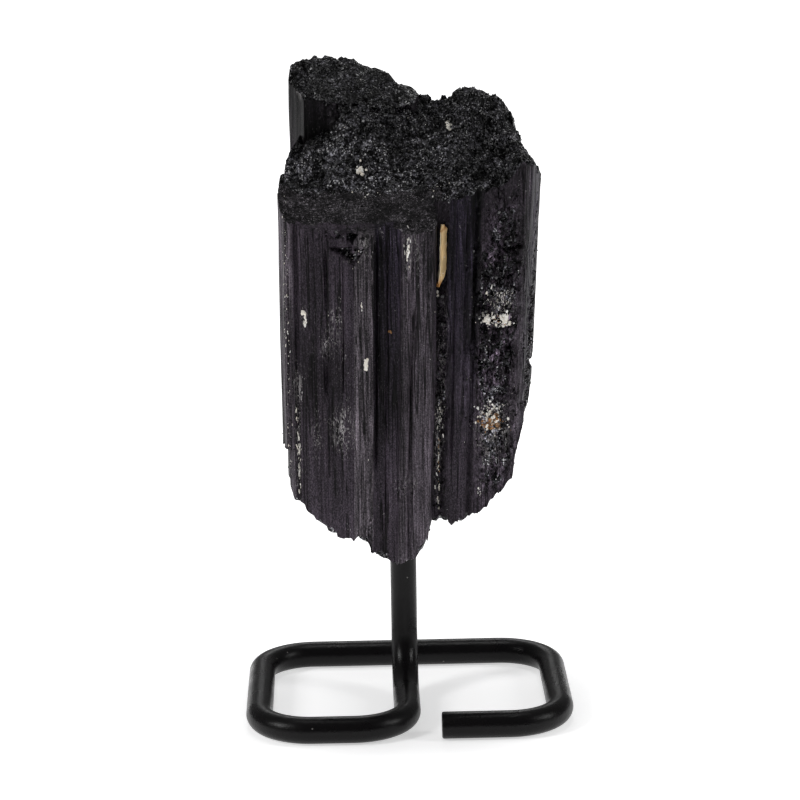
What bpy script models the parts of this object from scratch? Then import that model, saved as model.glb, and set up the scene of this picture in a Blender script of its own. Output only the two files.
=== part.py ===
"""Black tourmaline crystal held upright on a bent steel rod.

The crystal is a bundle of ribbed prisms grown together. Its upper end is broken across in a
low front ledge, a rough slope and a tall block at the back left. A round rod bent into two
flat loops stands on the ground, turns up behind its spoke and enters a blind hole in the
crystal's underside. Metres, +Z up, origin on the ground at the middle of the loops. Shapes
are worked out in millimetres and scaled by MM when a mesh is made.
"""

import math

import bmesh
import bpy
from mathutils import Vector, noise
from mathutils.geometry import delaunay_2d_cdt

MM = 0.001

# The rod, in millimetres.
ROD_DIAMETER = 6.0
ROD_SIDES = 16
BEND_RADIUS = 12.0
BEND_STEPS = 6
LOOP_HALF_WIDTH = 33.8
BACK_RUN_Y = 26.5
FRONT_LEFT_RUN_Y = -26.5
FRONT_RIGHT_RUN_Y = -25.0
FREE_END_X = 6.8
UPRIGHT_X = -0.6
UPRIGHT_Y = 8.9
ROD_TOP_Z = 61.0

# The hole that takes the rod, in millimetres.
HOLE_CLEARANCE = 0.3
HOLE_SIDES = 24

# The crystal as a whole, in millimetres. Outlines are drawn at MIDDLE_Z. The bundle widens
# upwards by TAPER for each millimetre, and leans to the right by LEAN.
MIDDLE_Z = 87.0
TAPER = 0.0009
LEAN = 0.027
CAP_SPACING = 2.1
RIM_SPACING = 2.4
SIDE_RINGS = 9

# The noise that nudges points over the broken ends starts from the clock unless it is seeded.
NUDGE_SEED = 1795465818

# Height of the broken upper end along lines that run front to back. Each line is its x and
# then (y, z) points, all in millimetres.
SLOPE_LINES = (
    (-25.0, ((-10, 119.0), (-6, 122.5), (-2, 126.0), (2, 129.0), (10, 131.0))),
    (-18.0, ((-13, 116.5), (-9, 120.0), (-4, 125.5), (0, 130.5), (2.5, 132.5), (12, 133.0))),
    (-10.0, ((-13, 115.8), (-9, 119.8), (-5, 124.5), (-1, 130.0), (1.5, 134.3), (12, 135.2))),
    (-3.0, ((-13, 115.3), (-9, 119.3), (-4, 125.0), (1, 131.2), (4, 135.4), (14, 137.5))),
    (4.0, ((-13, 114.8), (-9, 118.6), (-3, 124.5), (3, 130.0), (9, 135.2), (15, 138.2), (23, 136.0))),
    (8.0, ((-18, 118.5), (-9, 122.0), (-2, 126.8), (5, 131.5), (11, 136.0), (15, 137.4), (23, 135.0))),
    (14.0, ((-18, 120.3), (-8, 125.3), (0, 129.6), (7, 134.5), (13, 138.6), (17, 139.5), (23, 137.0))),
    (18.0, ((-18, 121.8), (-8, 125.8), (-1, 127.4), (3, 130.0), (8, 134.8), (13, 139.0), (20, 138.5))),
    (22.5, ((-18, 123.6), (-12, 125.6), (-6, 125.4), (0, 123.6), (4, 127.0), (9, 134.0), (13, 138.8), (19, 137.5))),
    (25.5, ((-17, 126.6), (-14, 129.3), (-8, 129.6), (0, 128.0), (5, 128.8), (10, 131.5), (14, 132.0))),
    (28.2, ((-13, 126.0), (-6, 125.4), (0, 124.6), (6, 125.0), (12, 125.0))),
    (31.0, ((-13, 121.6), (-4, 121.2), (4, 121.4), (12, 121.8))),
)

# Height of the tall block at the back left, along lines that run front to back.
BLOCK_LINES = (
    (-25.0, ((2, 136.5), (8, 141.0), (14, 144.0), (20, 144.5))),
    (-21.5, ((3, 138.0), (9, 142.0), (15, 146.2), (21, 146.0))),
    (-16.0, ((3, 138.4), (9, 142.5), (16, 147.0), (23, 146.0))),
    (-9.0, ((3, 137.4), (9, 141.0), (16, 145.2), (24, 144.0))),
    (-4.0, ((3, 136.8), (9, 139.6), (15, 142.8), (24, 141.0))),
    (0.5, ((4, 136.4), (10, 138.8), (15, 141.0), (22, 139.5))),
    (3.5, ((6, 136.4), (10, 137.6), (15, 138.8), (20, 138.0))),
)

# The low ledge in front rises to the back, and its left end is a little higher.
LEDGE_FRONT_Y = -20.3
LEDGE_FRONT_Z = 113.9
LEDGE_RISE = 0.55
LEDGE_LEFT_X = -19.0
LEDGE_LEFT_RISE = 0.28

# Lumps and hollows on the broken upper end: x, y, radius and height, all in millimetres.
LUMPS = (
    (-13.0, -0.5, 3.2, 1.6),
    (-20.5, -3.5, 3.0, 1.3),
    (-22.5, 0.5, 1.8, -1.6),
    (-18.5, -6.5, 1.7, -1.4),
    (-15.0, -7.5, 2.0, 1.1),
    (-4.5, -1.5, 2.4, 0.9),
    (3.0, -5.0, 2.6, 0.8),
    (9.5, 6.0, 2.6, -1.0),
    (14.0, -9.0, 3.0, 1.0),
    (18.5, 0.5, 2.8, -1.3),
    (22.5, -0.5, 2.6, -1.6),
    (15.0, 14.5, 2.4, 0.7),
)

# How far down the bundle reaches, as (x, z) points from left to right.
FRONT_FOOT = (
    (-26, 58.5), (-24.9, 54.0), (-22.2, 51.2), (-19.7, 48.6), (-17, 46.8), (-14.5, 45.2),
    (-10, 44.6), (-8.6, 44.2), (-7.6, 41.8), (-5.3, 40.2), (-2, 39.2), (1.3, 40.2),
    (3.9, 43.6), (5.2, 47.6), (6, 50.4),
)
BACK_FOOT = (
    (-26, 60.0), (-18, 53.0), (-8, 47.0), (0, 45.5), (6, 48.2), (9, 47.2), (12, 48.0),
    (15, 49.6), (17.5, 50.6), (20, 53.6), (23.0, 57.0), (23.6, 61.5), (25.2, 67.5), (27, 73.0),
    (28.4, 78.5),
)
FOOT_REAR_RISE = 0.25
FOOT_REAR_Y = 10.0

# Dents in the sides: x, y and z of the middle, radius across, radius along Z and depth.
DENTS = (
    (-17.0, -21.0, 85.7, 0.9, 1.3, 0.7),
    (-12.8, -21.0, 108.0, 2.0, 1.7, 1.3),
    (28.6, -4.0, 80.3, 5.0, 1.1, 1.3),
    (19.5, -17.5, 104.5, 2.6, 2.6, 1.3),
    (17.8, -17.5, 93.0, 1.8, 2.4, 1.2),
    (-7.0, -21.5, 46.5, 0.9, 2.8, 1.2),
)

# Plan outlines at MIDDLE_Z, in millimetres, anticlockwise.
CORE_OUTLINE = (
    (8.6, -13.2), (9.2, -17.5), (14.6, -17.9), (15.0, -16.4), (15.9, -17.5), (19.4, -17.8),
    (22.9, -16.8), (23.4, -17.4), (25.7, -15.9), (27.1, -11.5), (28.3, -6.0), (28.6, -1.0),
    (28.0, 3.5), (26.8, 4.4), (27.2, 6.4), (25.4, 12.5), (22.4, 17.2), (21.0, 17.4),
    (19.4, 19.6), (13.0, 22.4), (6.6, 23.6), (5.8, 22.3), (3.0, 22.6), (-6.0, 22.4),
    (-16.0, 20.4), (-21.0, 15.6), (-22.4, 8.0), (-22.8, 4.2), (-24.6, 1.6), (-25.6, -3.0),
    (-25.2, -9.0), (-20.0, -13.0), (0.0, -13.5),
)
SLAB_OUTLINE = (
    (-25.6, -8.0), (-26.0, -14.0), (-25.3, -18.4), (-24.0, -19.8), (-23.3, -19.1),
    (-22.6, -20.1), (-17.2, -20.6), (-16.9, -20.2), (-16.5, -20.6), (-10.9, -20.8),
    (-8.9, -21.8), (-6.8, -21.7), (-6.5, -19.8), (-1.4, -20.2), (-0.9, -21.2), (0.8, -21.7),
    (1.4, -20.9), (2.1, -21.7), (5.6, -20.8), (6.5, -19.2), (6.6, -14.0), (7.6, -8.5),
    (4.0, -3.0), (-10.0, -1.5), (-21.5, -3.0),
)
EDGE_OUTLINE = (
    (-23.7, -19.3), (-22.0, -15.0), (-21.6, -7.0), (-24.4, -4.6), (-26.5, -7.2),
    (-27.0, -12.0), (-26.8, -16.4), (-25.8, -19.0), (-24.6, -19.9),
)
BLOCK_OUTLINE = (
    (-21.4, 3.7), (-16.4, 4.4), (-13.0, 3.2), (-9.0, 4.2), (-5.6, 3.4), (-2.5, 5.0),
    (2.0, 7.5), (3.0, 14.0),
    (2.2, 20.0), (1.6, 23.4), (-3.0, 24.3), (-9.2, 24.4), (-10.0, 23.3), (-11.2, 24.2),
    (-17.8, 21.8), (-22.2, 18.4), (-22.8, 16.9), (-24.2, 15.6), (-24.6, 9.6),
)


def between(points, x):
    """Straight-line value at x of a list of (x, value) points, held level past both ends."""
    if x <= points[0][0]:
        return points[0][1]
    for (x0, v0), (x1, v1) in zip(points, points[1:]):
        if x <= x1:
            return v0 + (v1 - v0) * (x - x0) / (x1 - x0)
    return points[-1][1]


def line_height(lines, x, y):
    """Height at (x, y) of a surface that is given along lines running front to back."""
    return between([(line_x, between(points, y)) for line_x, points in lines], x)


def lumps_at(x, y):
    total = 0.0
    for lump_x, lump_y, radius, height in LUMPS:
        total += height * math.exp(-((x - lump_x) ** 2 + (y - lump_y) ** 2) / radius**2)
    return total


def rubble(x, y, seed):
    """Coarse and middling lumps of a broken surface, about 1.5 mm high."""
    coarse = noise.noise(Vector((x * 0.22, y * 0.22, seed)))
    middling = noise.noise(Vector((x * 0.55, y * 0.55, seed + 7.0)))
    return 1.1 * coarse + 0.7 * middling


def slope_top(x, y):
    return line_height(SLOPE_LINES, x, y) + lumps_at(x, y) + rubble(x, y, 1.0)


def block_top(x, y):
    return line_height(BLOCK_LINES, x, y) + rubble(x, y, 2.0)


def ledge_top(x, y):
    rise = LEDGE_RISE * (y - LEDGE_FRONT_Y) + LEDGE_LEFT_RISE * max(0.0, LEDGE_LEFT_X - x)
    return LEDGE_FRONT_Z + rise + 0.35 * rubble(x, y, 3.0)


def edge_top(x, y):
    """The ledge goes on over the left edge, with its rim a little raised."""
    return ledge_top(x, y) + 0.3 * (-24.6 - x)


def slab_foot(x, y):
    return between(FRONT_FOOT, x) + 0.1 * (y + 20.0) + 0.8 * rubble(x, y, 4.0)


def edge_foot(x, y):
    return 67.0 + 0.2 * (y + 12.0) + 0.7 * rubble(x, y, 5.0)


def core_foot(x, y):
    rear_rise = FOOT_REAR_RISE * max(0.0, y - FOOT_REAR_Y)
    return between(BACK_FOOT, x) + rear_rise + 0.8 * rubble(x, y, 6.0)


def block_foot(x, y):
    return 57.0 - 0.15 * (x + 24.0) + 0.8 * rubble(x, y, 8.0)


def lean(x, y, z):
    """Moves a plan point of MIDDLE_Z to where the bundle has it at height z."""
    grow = 1.0 + TAPER * (z - MIDDLE_Z)
    return x * grow + LEAN * (z - MIDDLE_Z), y * grow


def meeting_height(surface, x, y, start):
    """Height at which the leaning fibre through plan point (x, y) meets a surface."""
    z = start
    for _ in range(3):
        z = surface(*lean(x, y, z))
    return z


def dent_depth(x, y, z):
    total = 0.0
    for dent_x, dent_y, dent_z, across, along, depth in DENTS:
        spread = ((x - dent_x) ** 2 + (y - dent_y) ** 2) / across**2 + ((z - dent_z) / along) ** 2
        total += depth * math.exp(-spread)
    return total


def relief(x, y, z):
    """How far the side stands out at a point: long ribs up the prism, less the dents."""
    ribs = 0.3 * noise.noise(Vector((x * 0.6, y * 0.6, z * 0.025)))
    return ribs - dent_depth(x, y, z)


def resample(outline, spacing):
    """Points along a closed outline, keeping each corner."""
    points = []
    for start, end in zip(outline, outline[1:] + outline[:1]):
        length = math.dist(start, end)
        count = max(1, round(length / spacing))
        for step in range(count):
            share = step / count
            points.append(tuple(a + (b - a) * share for a, b in zip(start, end)))
    return points


def outward(rim):
    """Unit vector pointing out of a closed anticlockwise rim at each of its points."""
    vectors = []
    for before, after in zip(rim[-1:] + rim[:-1], rim[1:] + rim[:1]):
        along = Vector((after[0] - before[0], after[1] - before[1])).normalized()
        vectors.append((along.y, -along.x))
    return vectors


def cap_layout(rim, spacing):
    """Plan points and triangles that fill a rim. The rim's own points come first."""
    low_x = min(x for x, _ in rim)
    high_x = max(x for x, _ in rim)
    low_y = min(y for _, y in rim)
    high_y = max(y for _, y in rim)
    row_step = spacing * math.sqrt(0.75)
    inside = []
    for row in range(int((high_y - low_y) / row_step) + 1):
        for column in range(int((high_x - low_x) / spacing) + 1):
            x = low_x + (column + 0.5 * (row % 2)) * spacing
            y = low_y + (row + 0.5) * row_step
            nudge = noise.noise_vector(Vector((x * 0.9, y * 0.9, 4.0)))
            x += 0.35 * spacing * nudge.x
            y += 0.35 * spacing * nudge.y
            if is_well_inside(rim, x, y, 0.55 * spacing):
                inside.append((x, y))
    points = [Vector(point) for point in rim + inside]
    found = delaunay_2d_cdt(points, [], [list(range(len(rim)))], 1, 1e-5)
    return [tuple(point) for point in found[0]], found[2]


def is_well_inside(rim, x, y, margin):
    """Whether (x, y) is inside the rim and further than the margin from every edge of it."""
    inside = False
    for (x0, y0), (x1, y1) in zip(rim, rim[1:] + rim[:1]):
        if (y0 > y) != (y1 > y) and x < x0 + (x1 - x0) * (y - y0) / (y1 - y0):
            inside = not inside
        along = ((x - x0) * (x1 - x0) + (y - y0) * (y1 - y0)) / ((x1 - x0) ** 2 + (y1 - y0) ** 2)
        along = min(1.0, max(0.0, along))
        if math.hypot(x - x0 - along * (x1 - x0), y - y0 - along * (y1 - y0)) < margin:
            return False
    return inside


def prism_mesh(name, outline, top, foot):
    """Closed mesh of one prism of the bundle, between its foot and its broken top."""
    rim = resample(outline, RIM_SPACING)
    normals = outward(rim)
    plan, triangles = cap_layout(rim, CAP_SPACING)
    builder = bmesh.new()
    rings = []
    for (x, y), (out_x, out_y) in zip(rim, normals):
        low = meeting_height(foot, x, y, MIDDLE_Z - 35.0)
        high = meeting_height(top, x, y, MIDDLE_Z + 35.0)
        upright = []
        for ring in range(SIDE_RINGS + 1):
            z = low + (high - low) * ring / SIDE_RINGS
            push = relief(x, y, z)
            px, py = lean(x + push * out_x, y + push * out_y, z)
            upright.append(builder.verts.new((px * MM, py * MM, z * MM)))
        rings.append(upright)
    for left, right in zip(rings, rings[1:] + rings[:1]):
        for ring in range(SIDE_RINGS):
            builder.faces.new((left[ring], right[ring], right[ring + 1], left[ring + 1]))
    for surface, start, ring, turn in ((foot, -35.0, 0, -1), (top, 35.0, SIDE_RINGS, 1)):
        corners = [upright[ring] for upright in rings]
        for x, y in plan[len(rim) :]:
            z = meeting_height(surface, x, y, MIDDLE_Z + start)
            px, py = lean(x, y, z)
            corners.append(builder.verts.new((px * MM, py * MM, z * MM)))
        for triangle in triangles:
            builder.faces.new([corners[index] for index in triangle[::turn]])
    bmesh.ops.triangulate(builder, faces=builder.faces[:])
    bmesh.ops.recalc_face_normals(builder, faces=builder.faces[:])
    mesh = bpy.data.meshes.new(name)
    builder.to_mesh(mesh)
    builder.free()
    return mesh


def material(name, color, roughness, metallic):
    made = bpy.data.materials.new(name)
    made.use_nodes = True
    shader = made.node_tree.nodes["Principled BSDF"]
    shader.inputs["Base Color"].default_value = (*color, 1.0)
    shader.inputs["Roughness"].default_value = roughness
    shader.inputs["Metallic"].default_value = metallic
    return made


def add_object(name, mesh):
    added = bpy.data.objects.new(name, mesh)
    bpy.context.scene.collection.objects.link(added)
    return added


def add_boolean(target, helper, operation):
    """Joins the helper to the target, or cuts it out, and hides the helper."""
    helper.hide_render = True
    helper.display_type = "WIRE"
    modifier = target.modifiers.new(helper.name, "BOOLEAN")
    modifier.operation = operation
    modifier.solver = "EXACT"
    modifier.object = helper


def hole_cutter():
    """A drill for the rod, from below the crystal to just past the rod's top."""
    radius = ROD_DIAMETER / 2 + HOLE_CLEARANCE
    low = 20.0
    high = ROD_TOP_Z + HOLE_CLEARANCE
    builder = bmesh.new()
    bmesh.ops.create_cone(
        builder,
        cap_ends=True,
        segments=HOLE_SIDES,
        radius1=radius * MM,
        radius2=radius * MM,
        depth=(high - low) * MM,
    )
    middle = Vector((UPRIGHT_X, UPRIGHT_Y, (high + low) / 2)) * MM
    bmesh.ops.translate(builder, verts=builder.verts[:], vec=middle)
    mesh = bpy.data.meshes.new("rod_hole")
    builder.to_mesh(mesh)
    builder.free()
    return add_object("rod_hole", mesh)


def crystal():
    mesh = prism_mesh("tourmaline_crystal", CORE_OUTLINE, slope_top, core_foot)
    body = add_object("tourmaline_crystal", mesh)
    body.data.materials.append(material("black_tourmaline", (0.018, 0.016, 0.021), 0.38, 0.0))
    for name, outline, top, foot in (
        ("front_slab", SLAB_OUTLINE, ledge_top, slab_foot),
        ("left_edge", EDGE_OUTLINE, edge_top, edge_foot),
        ("back_block", BLOCK_OUTLINE, block_top, block_foot),
    ):
        add_boolean(body, add_object(name, prism_mesh(name, outline, top, foot)), "UNION")
    add_boolean(body, hole_cutter(), "DIFFERENCE")
    return body


def turn_points(centre, start_angle, turn_angle):
    """Points on a level arc about a centre, from just past its start to its end."""
    points = []
    for step in range(1, BEND_STEPS + 1):
        angle = start_angle + turn_angle * step / BEND_STEPS
        x = centre[0] + BEND_RADIUS * math.cos(angle)
        y = centre[1] + BEND_RADIUS * math.sin(angle)
        points.append(Vector((x, y, ROD_DIAMETER / 2)))
    return points


def rod_path():
    """Middle line of the rod, from its top down the upright and round both loops."""
    level = ROD_DIAMETER / 2
    quarter = math.pi / 2
    bend_z = level + BEND_RADIUS
    path = [Vector((UPRIGHT_X, UPRIGHT_Y, ROD_TOP_Z)), Vector((UPRIGHT_X, UPRIGHT_Y, bend_z))]
    for step in range(1, BEND_STEPS + 1):
        angle = quarter * step / BEND_STEPS
        y = UPRIGHT_Y - BEND_RADIUS * (1 - math.cos(angle))
        path.append(Vector((UPRIGHT_X, y, bend_z - BEND_RADIUS * math.sin(angle))))
    side = LOOP_HALF_WIDTH - BEND_RADIUS
    front = FRONT_LEFT_RUN_Y + BEND_RADIUS
    back = BACK_RUN_Y - BEND_RADIUS
    corners = (
        ((UPRIGHT_X - BEND_RADIUS, front), 0.0, -quarter),
        ((-side, front), -quarter, -quarter),
        ((-side, back), -2 * quarter, -quarter),
        ((side, back), quarter, -quarter),
        ((side, FRONT_RIGHT_RUN_Y + BEND_RADIUS), 0.0, -quarter),
    )
    for centre, start_angle, turn_angle in corners:
        x = centre[0] + BEND_RADIUS * math.cos(start_angle)
        y = centre[1] + BEND_RADIUS * math.sin(start_angle)
        path.append(Vector((x, y, level)))
        path.extend(turn_points(centre, start_angle, turn_angle))
    path.append(Vector((FREE_END_X, FRONT_RIGHT_RUN_Y, level)))
    return path


def rod_mesh():
    """The rod as rings of corners joined along its path, with a flat side underneath."""
    path = rod_path()
    corner_radius = ROD_DIAMETER / 2 / math.cos(math.pi / ROD_SIDES)
    builder = bmesh.new()
    rings = []
    side = Vector((-1.0, 0.0, 0.0))
    for index, point in enumerate(path):
        before = path[max(index - 1, 0)]
        after = path[min(index + 1, len(path) - 1)]
        along = (after - before).normalized()
        if abs(along.z) < 1e-6:
            side = along.cross(Vector((0.0, 0.0, 1.0)))
        over = side.cross(along)
        ring = []
        for corner in range(ROD_SIDES):
            angle = 2 * math.pi * (corner + 0.5) / ROD_SIDES
            spot = point + corner_radius * (math.cos(angle) * side + math.sin(angle) * over)
            ring.append(builder.verts.new(spot * MM))
        rings.append(ring)
    for first, second in zip(rings, rings[1:]):
        for corner in range(ROD_SIDES):
            following = (corner + 1) % ROD_SIDES
            builder.faces.new((first[corner], first[following], second[following], second[corner]))
    builder.faces.new(rings[0])
    builder.faces.new(rings[-1][::-1])
    bmesh.ops.recalc_face_normals(builder, faces=builder.faces[:])
    mesh = bpy.data.meshes.new("stand_rod")
    builder.to_mesh(mesh)
    builder.free()
    mesh.shade_smooth()
    mesh.set_sharp_from_angle(angle=math.radians(40))
    return mesh


def stand():
    rod = add_object("stand_rod", rod_mesh())
    rod.data.materials.append(material("black_powder_coat", (0.012, 0.011, 0.012), 0.42, 0.0))
    return rod


def main():
    noise.seed_set(NUDGE_SEED)
    for existing in list(bpy.data.objects):
        bpy.data.objects.remove(existing)
    crystal()
    stand()


main()
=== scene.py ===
"""Finish of a black tourmaline crystal on its bent rod, with its floor, lights and camera.

The crystal's solid is made again here from the same plan outlines and height lines as its
construction, with fine ribs, rubble and grains. Lengths are in millimetres until a mesh is
made, and MM turns them into metres.
"""

import math
import random

import bmesh
import bpy
import numpy as np
from bpy.props import FloatProperty, FloatVectorProperty, IntProperty, PointerProperty
from mathutils import Euler, Matrix, Vector, noise
from mathutils.bvhtree import BVHTree
from mathutils.geometry import delaunay_2d_cdt


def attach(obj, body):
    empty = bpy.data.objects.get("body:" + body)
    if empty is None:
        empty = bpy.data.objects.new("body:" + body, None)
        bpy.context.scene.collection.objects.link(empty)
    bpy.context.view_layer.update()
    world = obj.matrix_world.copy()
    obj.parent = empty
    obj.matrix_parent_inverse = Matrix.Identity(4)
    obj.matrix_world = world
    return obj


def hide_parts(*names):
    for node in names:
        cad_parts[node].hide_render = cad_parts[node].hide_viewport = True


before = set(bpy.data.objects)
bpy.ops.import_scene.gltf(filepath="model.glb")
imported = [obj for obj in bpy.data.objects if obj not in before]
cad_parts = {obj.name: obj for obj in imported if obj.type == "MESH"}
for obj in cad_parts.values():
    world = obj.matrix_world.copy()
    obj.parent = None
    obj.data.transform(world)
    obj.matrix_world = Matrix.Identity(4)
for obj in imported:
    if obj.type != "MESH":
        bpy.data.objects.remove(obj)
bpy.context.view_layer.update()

bl_info = {
    "name": "Tourmaline on a Rod",
    "version": (1, 0, 0),
    "blender": (4, 5, 0),
    "location": "3D View > Sidebar > Tourmaline",
    "description": "Builds the finish of a black tourmaline crystal on a bent rod",
    "category": "Add Mesh",
}

MM = 0.001
BODY = "root"
CRYSTAL_NODE = "tourmaline_crystal"
ROD_NODE = "stand_rod"

# The rod's middle line, in millimetres.
BEND_RADIUS = 12.0
LOOP_HALF_WIDTH = 33.8
BACK_RUN_Y = 26.5
FRONT_LEFT_RUN_Y = -26.5
FRONT_RIGHT_RUN_Y = -25.0
FREE_END_X = 6.8
UPRIGHT_X = -0.6
UPRIGHT_Y = 8.9
ROD_TOP_Z = 61.0
HOLE_CLEARANCE = 0.3
HOLE_START_Z = 20.0

# The crystal's bundle. Outlines are drawn at MIDDLE_Z. It widens upwards and leans right.
MIDDLE_Z = 87.0
TAPER = 0.0009
LEAN = 0.027

# Height of the broken upper end along lines that run front to back: x, then (y, z) points.
SLOPE_LINES = (
    (-25.0, ((-10, 119.0), (-6, 122.5), (-2, 126.0), (2, 129.0), (10, 131.0))),
    (-18.0, ((-13, 116.5), (-9, 120.0), (-4, 125.2), (0, 128.8), (2.5, 130.0), (12, 131.5))),
    (-14.5, ((-13, 116.0), (-9, 119.9), (-4.5, 125.2), (-0.5, 130.0), (2, 132.4), (12, 134.0))),
    (-10.0, ((-13, 115.8), (-9, 119.8), (-5, 124.5), (-1, 130.6), (2, 136.6), (12, 137.5))),
    (-3.0, ((-13, 115.3), (-9, 119.3), (-4, 125.0), (1, 131.8), (4, 136.8), (14, 138.5))),
    (4.0, ((-13, 114.8), (-9, 118.6), (-3, 124.5), (3, 130.0), (9, 135.2), (15, 138.2), (23, 136.0))),
    (8.0, ((-18, 118.5), (-9, 122.0), (-2, 126.8), (5, 131.2), (11, 134.8), (15, 135.7), (23, 133.6))),
    (14.0, ((-18, 120.3), (-8, 125.3), (0, 129.6), (7, 134.2), (13, 137.8), (17, 138.3), (23, 135.8))),
    (18.0, ((-18, 121.8), (-8, 125.8), (-1, 127.4), (3, 130.0), (8, 134.8), (13, 138.6), (20, 137.2))),
    (
        22.5,
        (
            (-18, 123.6), (-12, 125.6), (-6, 125.4), (0, 123.6), (4, 127.0), (9, 134.0), (13, 137.0),
            (19, 135.4),
        ),
    ),
    (25.5, ((-17, 126.6), (-14, 129.3), (-8, 129.6), (0, 128.0), (5, 128.8), (10, 131.5), (14, 132.0))),
    (28.2, ((-13, 126.0), (-6, 125.4), (0, 124.6), (6, 125.0), (12, 125.0))),
    (31.0, ((-13, 121.6), (-4, 121.2), (4, 121.4), (12, 121.8))),
)
BLOCK_LINES = (
    (-25.0, ((2, 135.8), (5, 139.2), (8, 141.0), (14, 143.8), (20, 144.2))),
    (-21.5, ((3, 137.4), (5, 139.6), (9, 142.0), (15, 145.6), (21, 145.2))),
    (-16.0, ((3, 137.4), (5, 139.6), (9, 142.2), (16, 146.2), (23, 145.2))),
    (-9.0, ((3, 136.4), (5, 138.6), (9, 141.0), (16, 145.0), (24, 143.6))),
    (-4.0, ((3, 135.8), (5, 137.6), (9, 139.8), (15, 143.2), (24, 141.0))),
    (-1.8, ((3, 135.8), (5, 137.2), (9, 139.4), (15, 142.6), (24, 140.4))),
    (-1.0, ((4, 135.8), (10, 138.4), (15, 141.2), (22, 139.4))),
    (0.5, ((4, 135.8), (10, 138.2), (15, 140.6), (22, 139.0))),
    (3.5, ((6, 135.8), (10, 137.4), (15, 138.8), (20, 138.0))),
)

# The ledge in front: its height at its front edge, and how it rises to the back and left.
LEDGE_FRONT_Y = -20.3
LEDGE_FRONT_Z = 113.9
LEDGE_RISE = 0.55
LEDGE_LEFT_X = -19.0
LEDGE_LEFT_RISE = 0.28

# Where the ledge ends, how far its dull look takes to fade there, and where its rim begins.
LEDGE_LOWEST_Z = 100.0
LEDGE_RIGHT_X = 8.5
LEDGE_BACK_Y = -8.0
LEDGE_FADE = 3.0
LEDGE_RIM_Y = -18.6

# Lumps and hollows on the broken upper end: x, y, radius and height.
LUMPS = (
    (-12.4, 1.0, 2.0, 1.2),
    (-20.5, -3.5, 2.4, 1.5),
    (-23.0, 0.8, 1.8, -2.0),
    (-18.5, -6.3, 1.7, -2.0),
    (-14.6, -7.6, 1.6, 1.5),
    (-9.5, -7.0, 1.5, -1.2),
    (-4.5, -1.5, 2.2, 1.1),
    (-1.0, -7.5, 2.0, -1.3),
    (3.0, -4.5, 2.0, 1.0),
    (4.5, 4.5, 2.2, -1.2),
    (9.5, 8.5, 2.2, -1.0),
    (7.5, 1.0, 1.8, 0.8),
    (14.0, -8.5, 2.6, 1.0),
    (12.5, -2.0, 1.8, -1.0),
    (19.0, 1.8, 3.2, -2.4),
    (22.8, 2.4, 2.4, -1.8),
    (15.0, 14.5, 2.4, 0.7),
)

# How far down the bundle reaches, as (x, z) points from left to right.
FRONT_FOOT = (
    (-26, 58.5), (-24.9, 54.0), (-22.2, 51.2), (-19.7, 48.6), (-17, 46.8), (-14.5, 45.2),
    (-10, 44.6), (-8.6, 44.2), (-7.6, 41.8), (-5.3, 40.2), (-2, 39.2), (1.3, 40.2),
    (3.9, 43.6), (5.2, 47.6), (6, 50.4),
)
BACK_FOOT = (
    (-26, 60.0), (-18, 53.0), (-8, 47.0), (0, 45.5), (6, 48.2), (9, 47.2), (12, 48.0),
    (15, 49.6), (17.5, 50.6), (20, 53.6), (23.0, 57.0), (23.6, 61.5), (25.2, 67.5), (27, 73.0),
    (28.4, 78.5),
)
FOOT_REAR_RISE = 0.25
FOOT_REAR_Y = 10.0
FOOT_LIFT = 0.5
EDGE_FOOT_Z = 67.0
BLOCK_FOOT_Z = 57.0

# Dents in the sides: x, y and z of the middle, radius across, radius along Z and depth.
DENTS = (
    (-17.0, -21.0, 85.7, 0.7, 1.2, 0.8),
    (28.6, -4.0, 80.3, 5.0, 1.1, 1.3),
    (28.4, -8.0, 97.0, 3.0, 1.6, 0.7),
    (-7.0, -21.5, 46.5, 0.9, 2.8, 1.2),
)

# Splits along the ribs: x, y, lowest z, highest z, width and depth.
SPLITS = (
    (-17.1, -20.6, 96.0, 111.0, 0.2, 0.9),
    (-17.15, -20.6, 76.5, 87.0, 0.35, 1.3),
    (-13.4, -20.7, 76.0, 108.0, 0.14, 0.5),
    (-6.4, -20.6, 60.0, 113.0, 0.3, 0.9),
    (-4.0, -20.0, 50.0, 112.0, 0.22, 0.35),
    (0.6, -21.4, 93.0, 105.0, 0.3, 0.7),
    (2.2, -21.4, 84.0, 100.0, 0.25, 0.7),
    (1.5, -21.4, 43.0, 82.0, 0.22, 0.5),
    (10.6, -17.7, 60.0, 120.0, 0.2, 0.4),
    (12.9, -17.8, 70.0, 120.0, 0.2, 0.4),
    (-25.0, -19.6, 60.0, 116.0, 0.22, 0.3),
)

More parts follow.
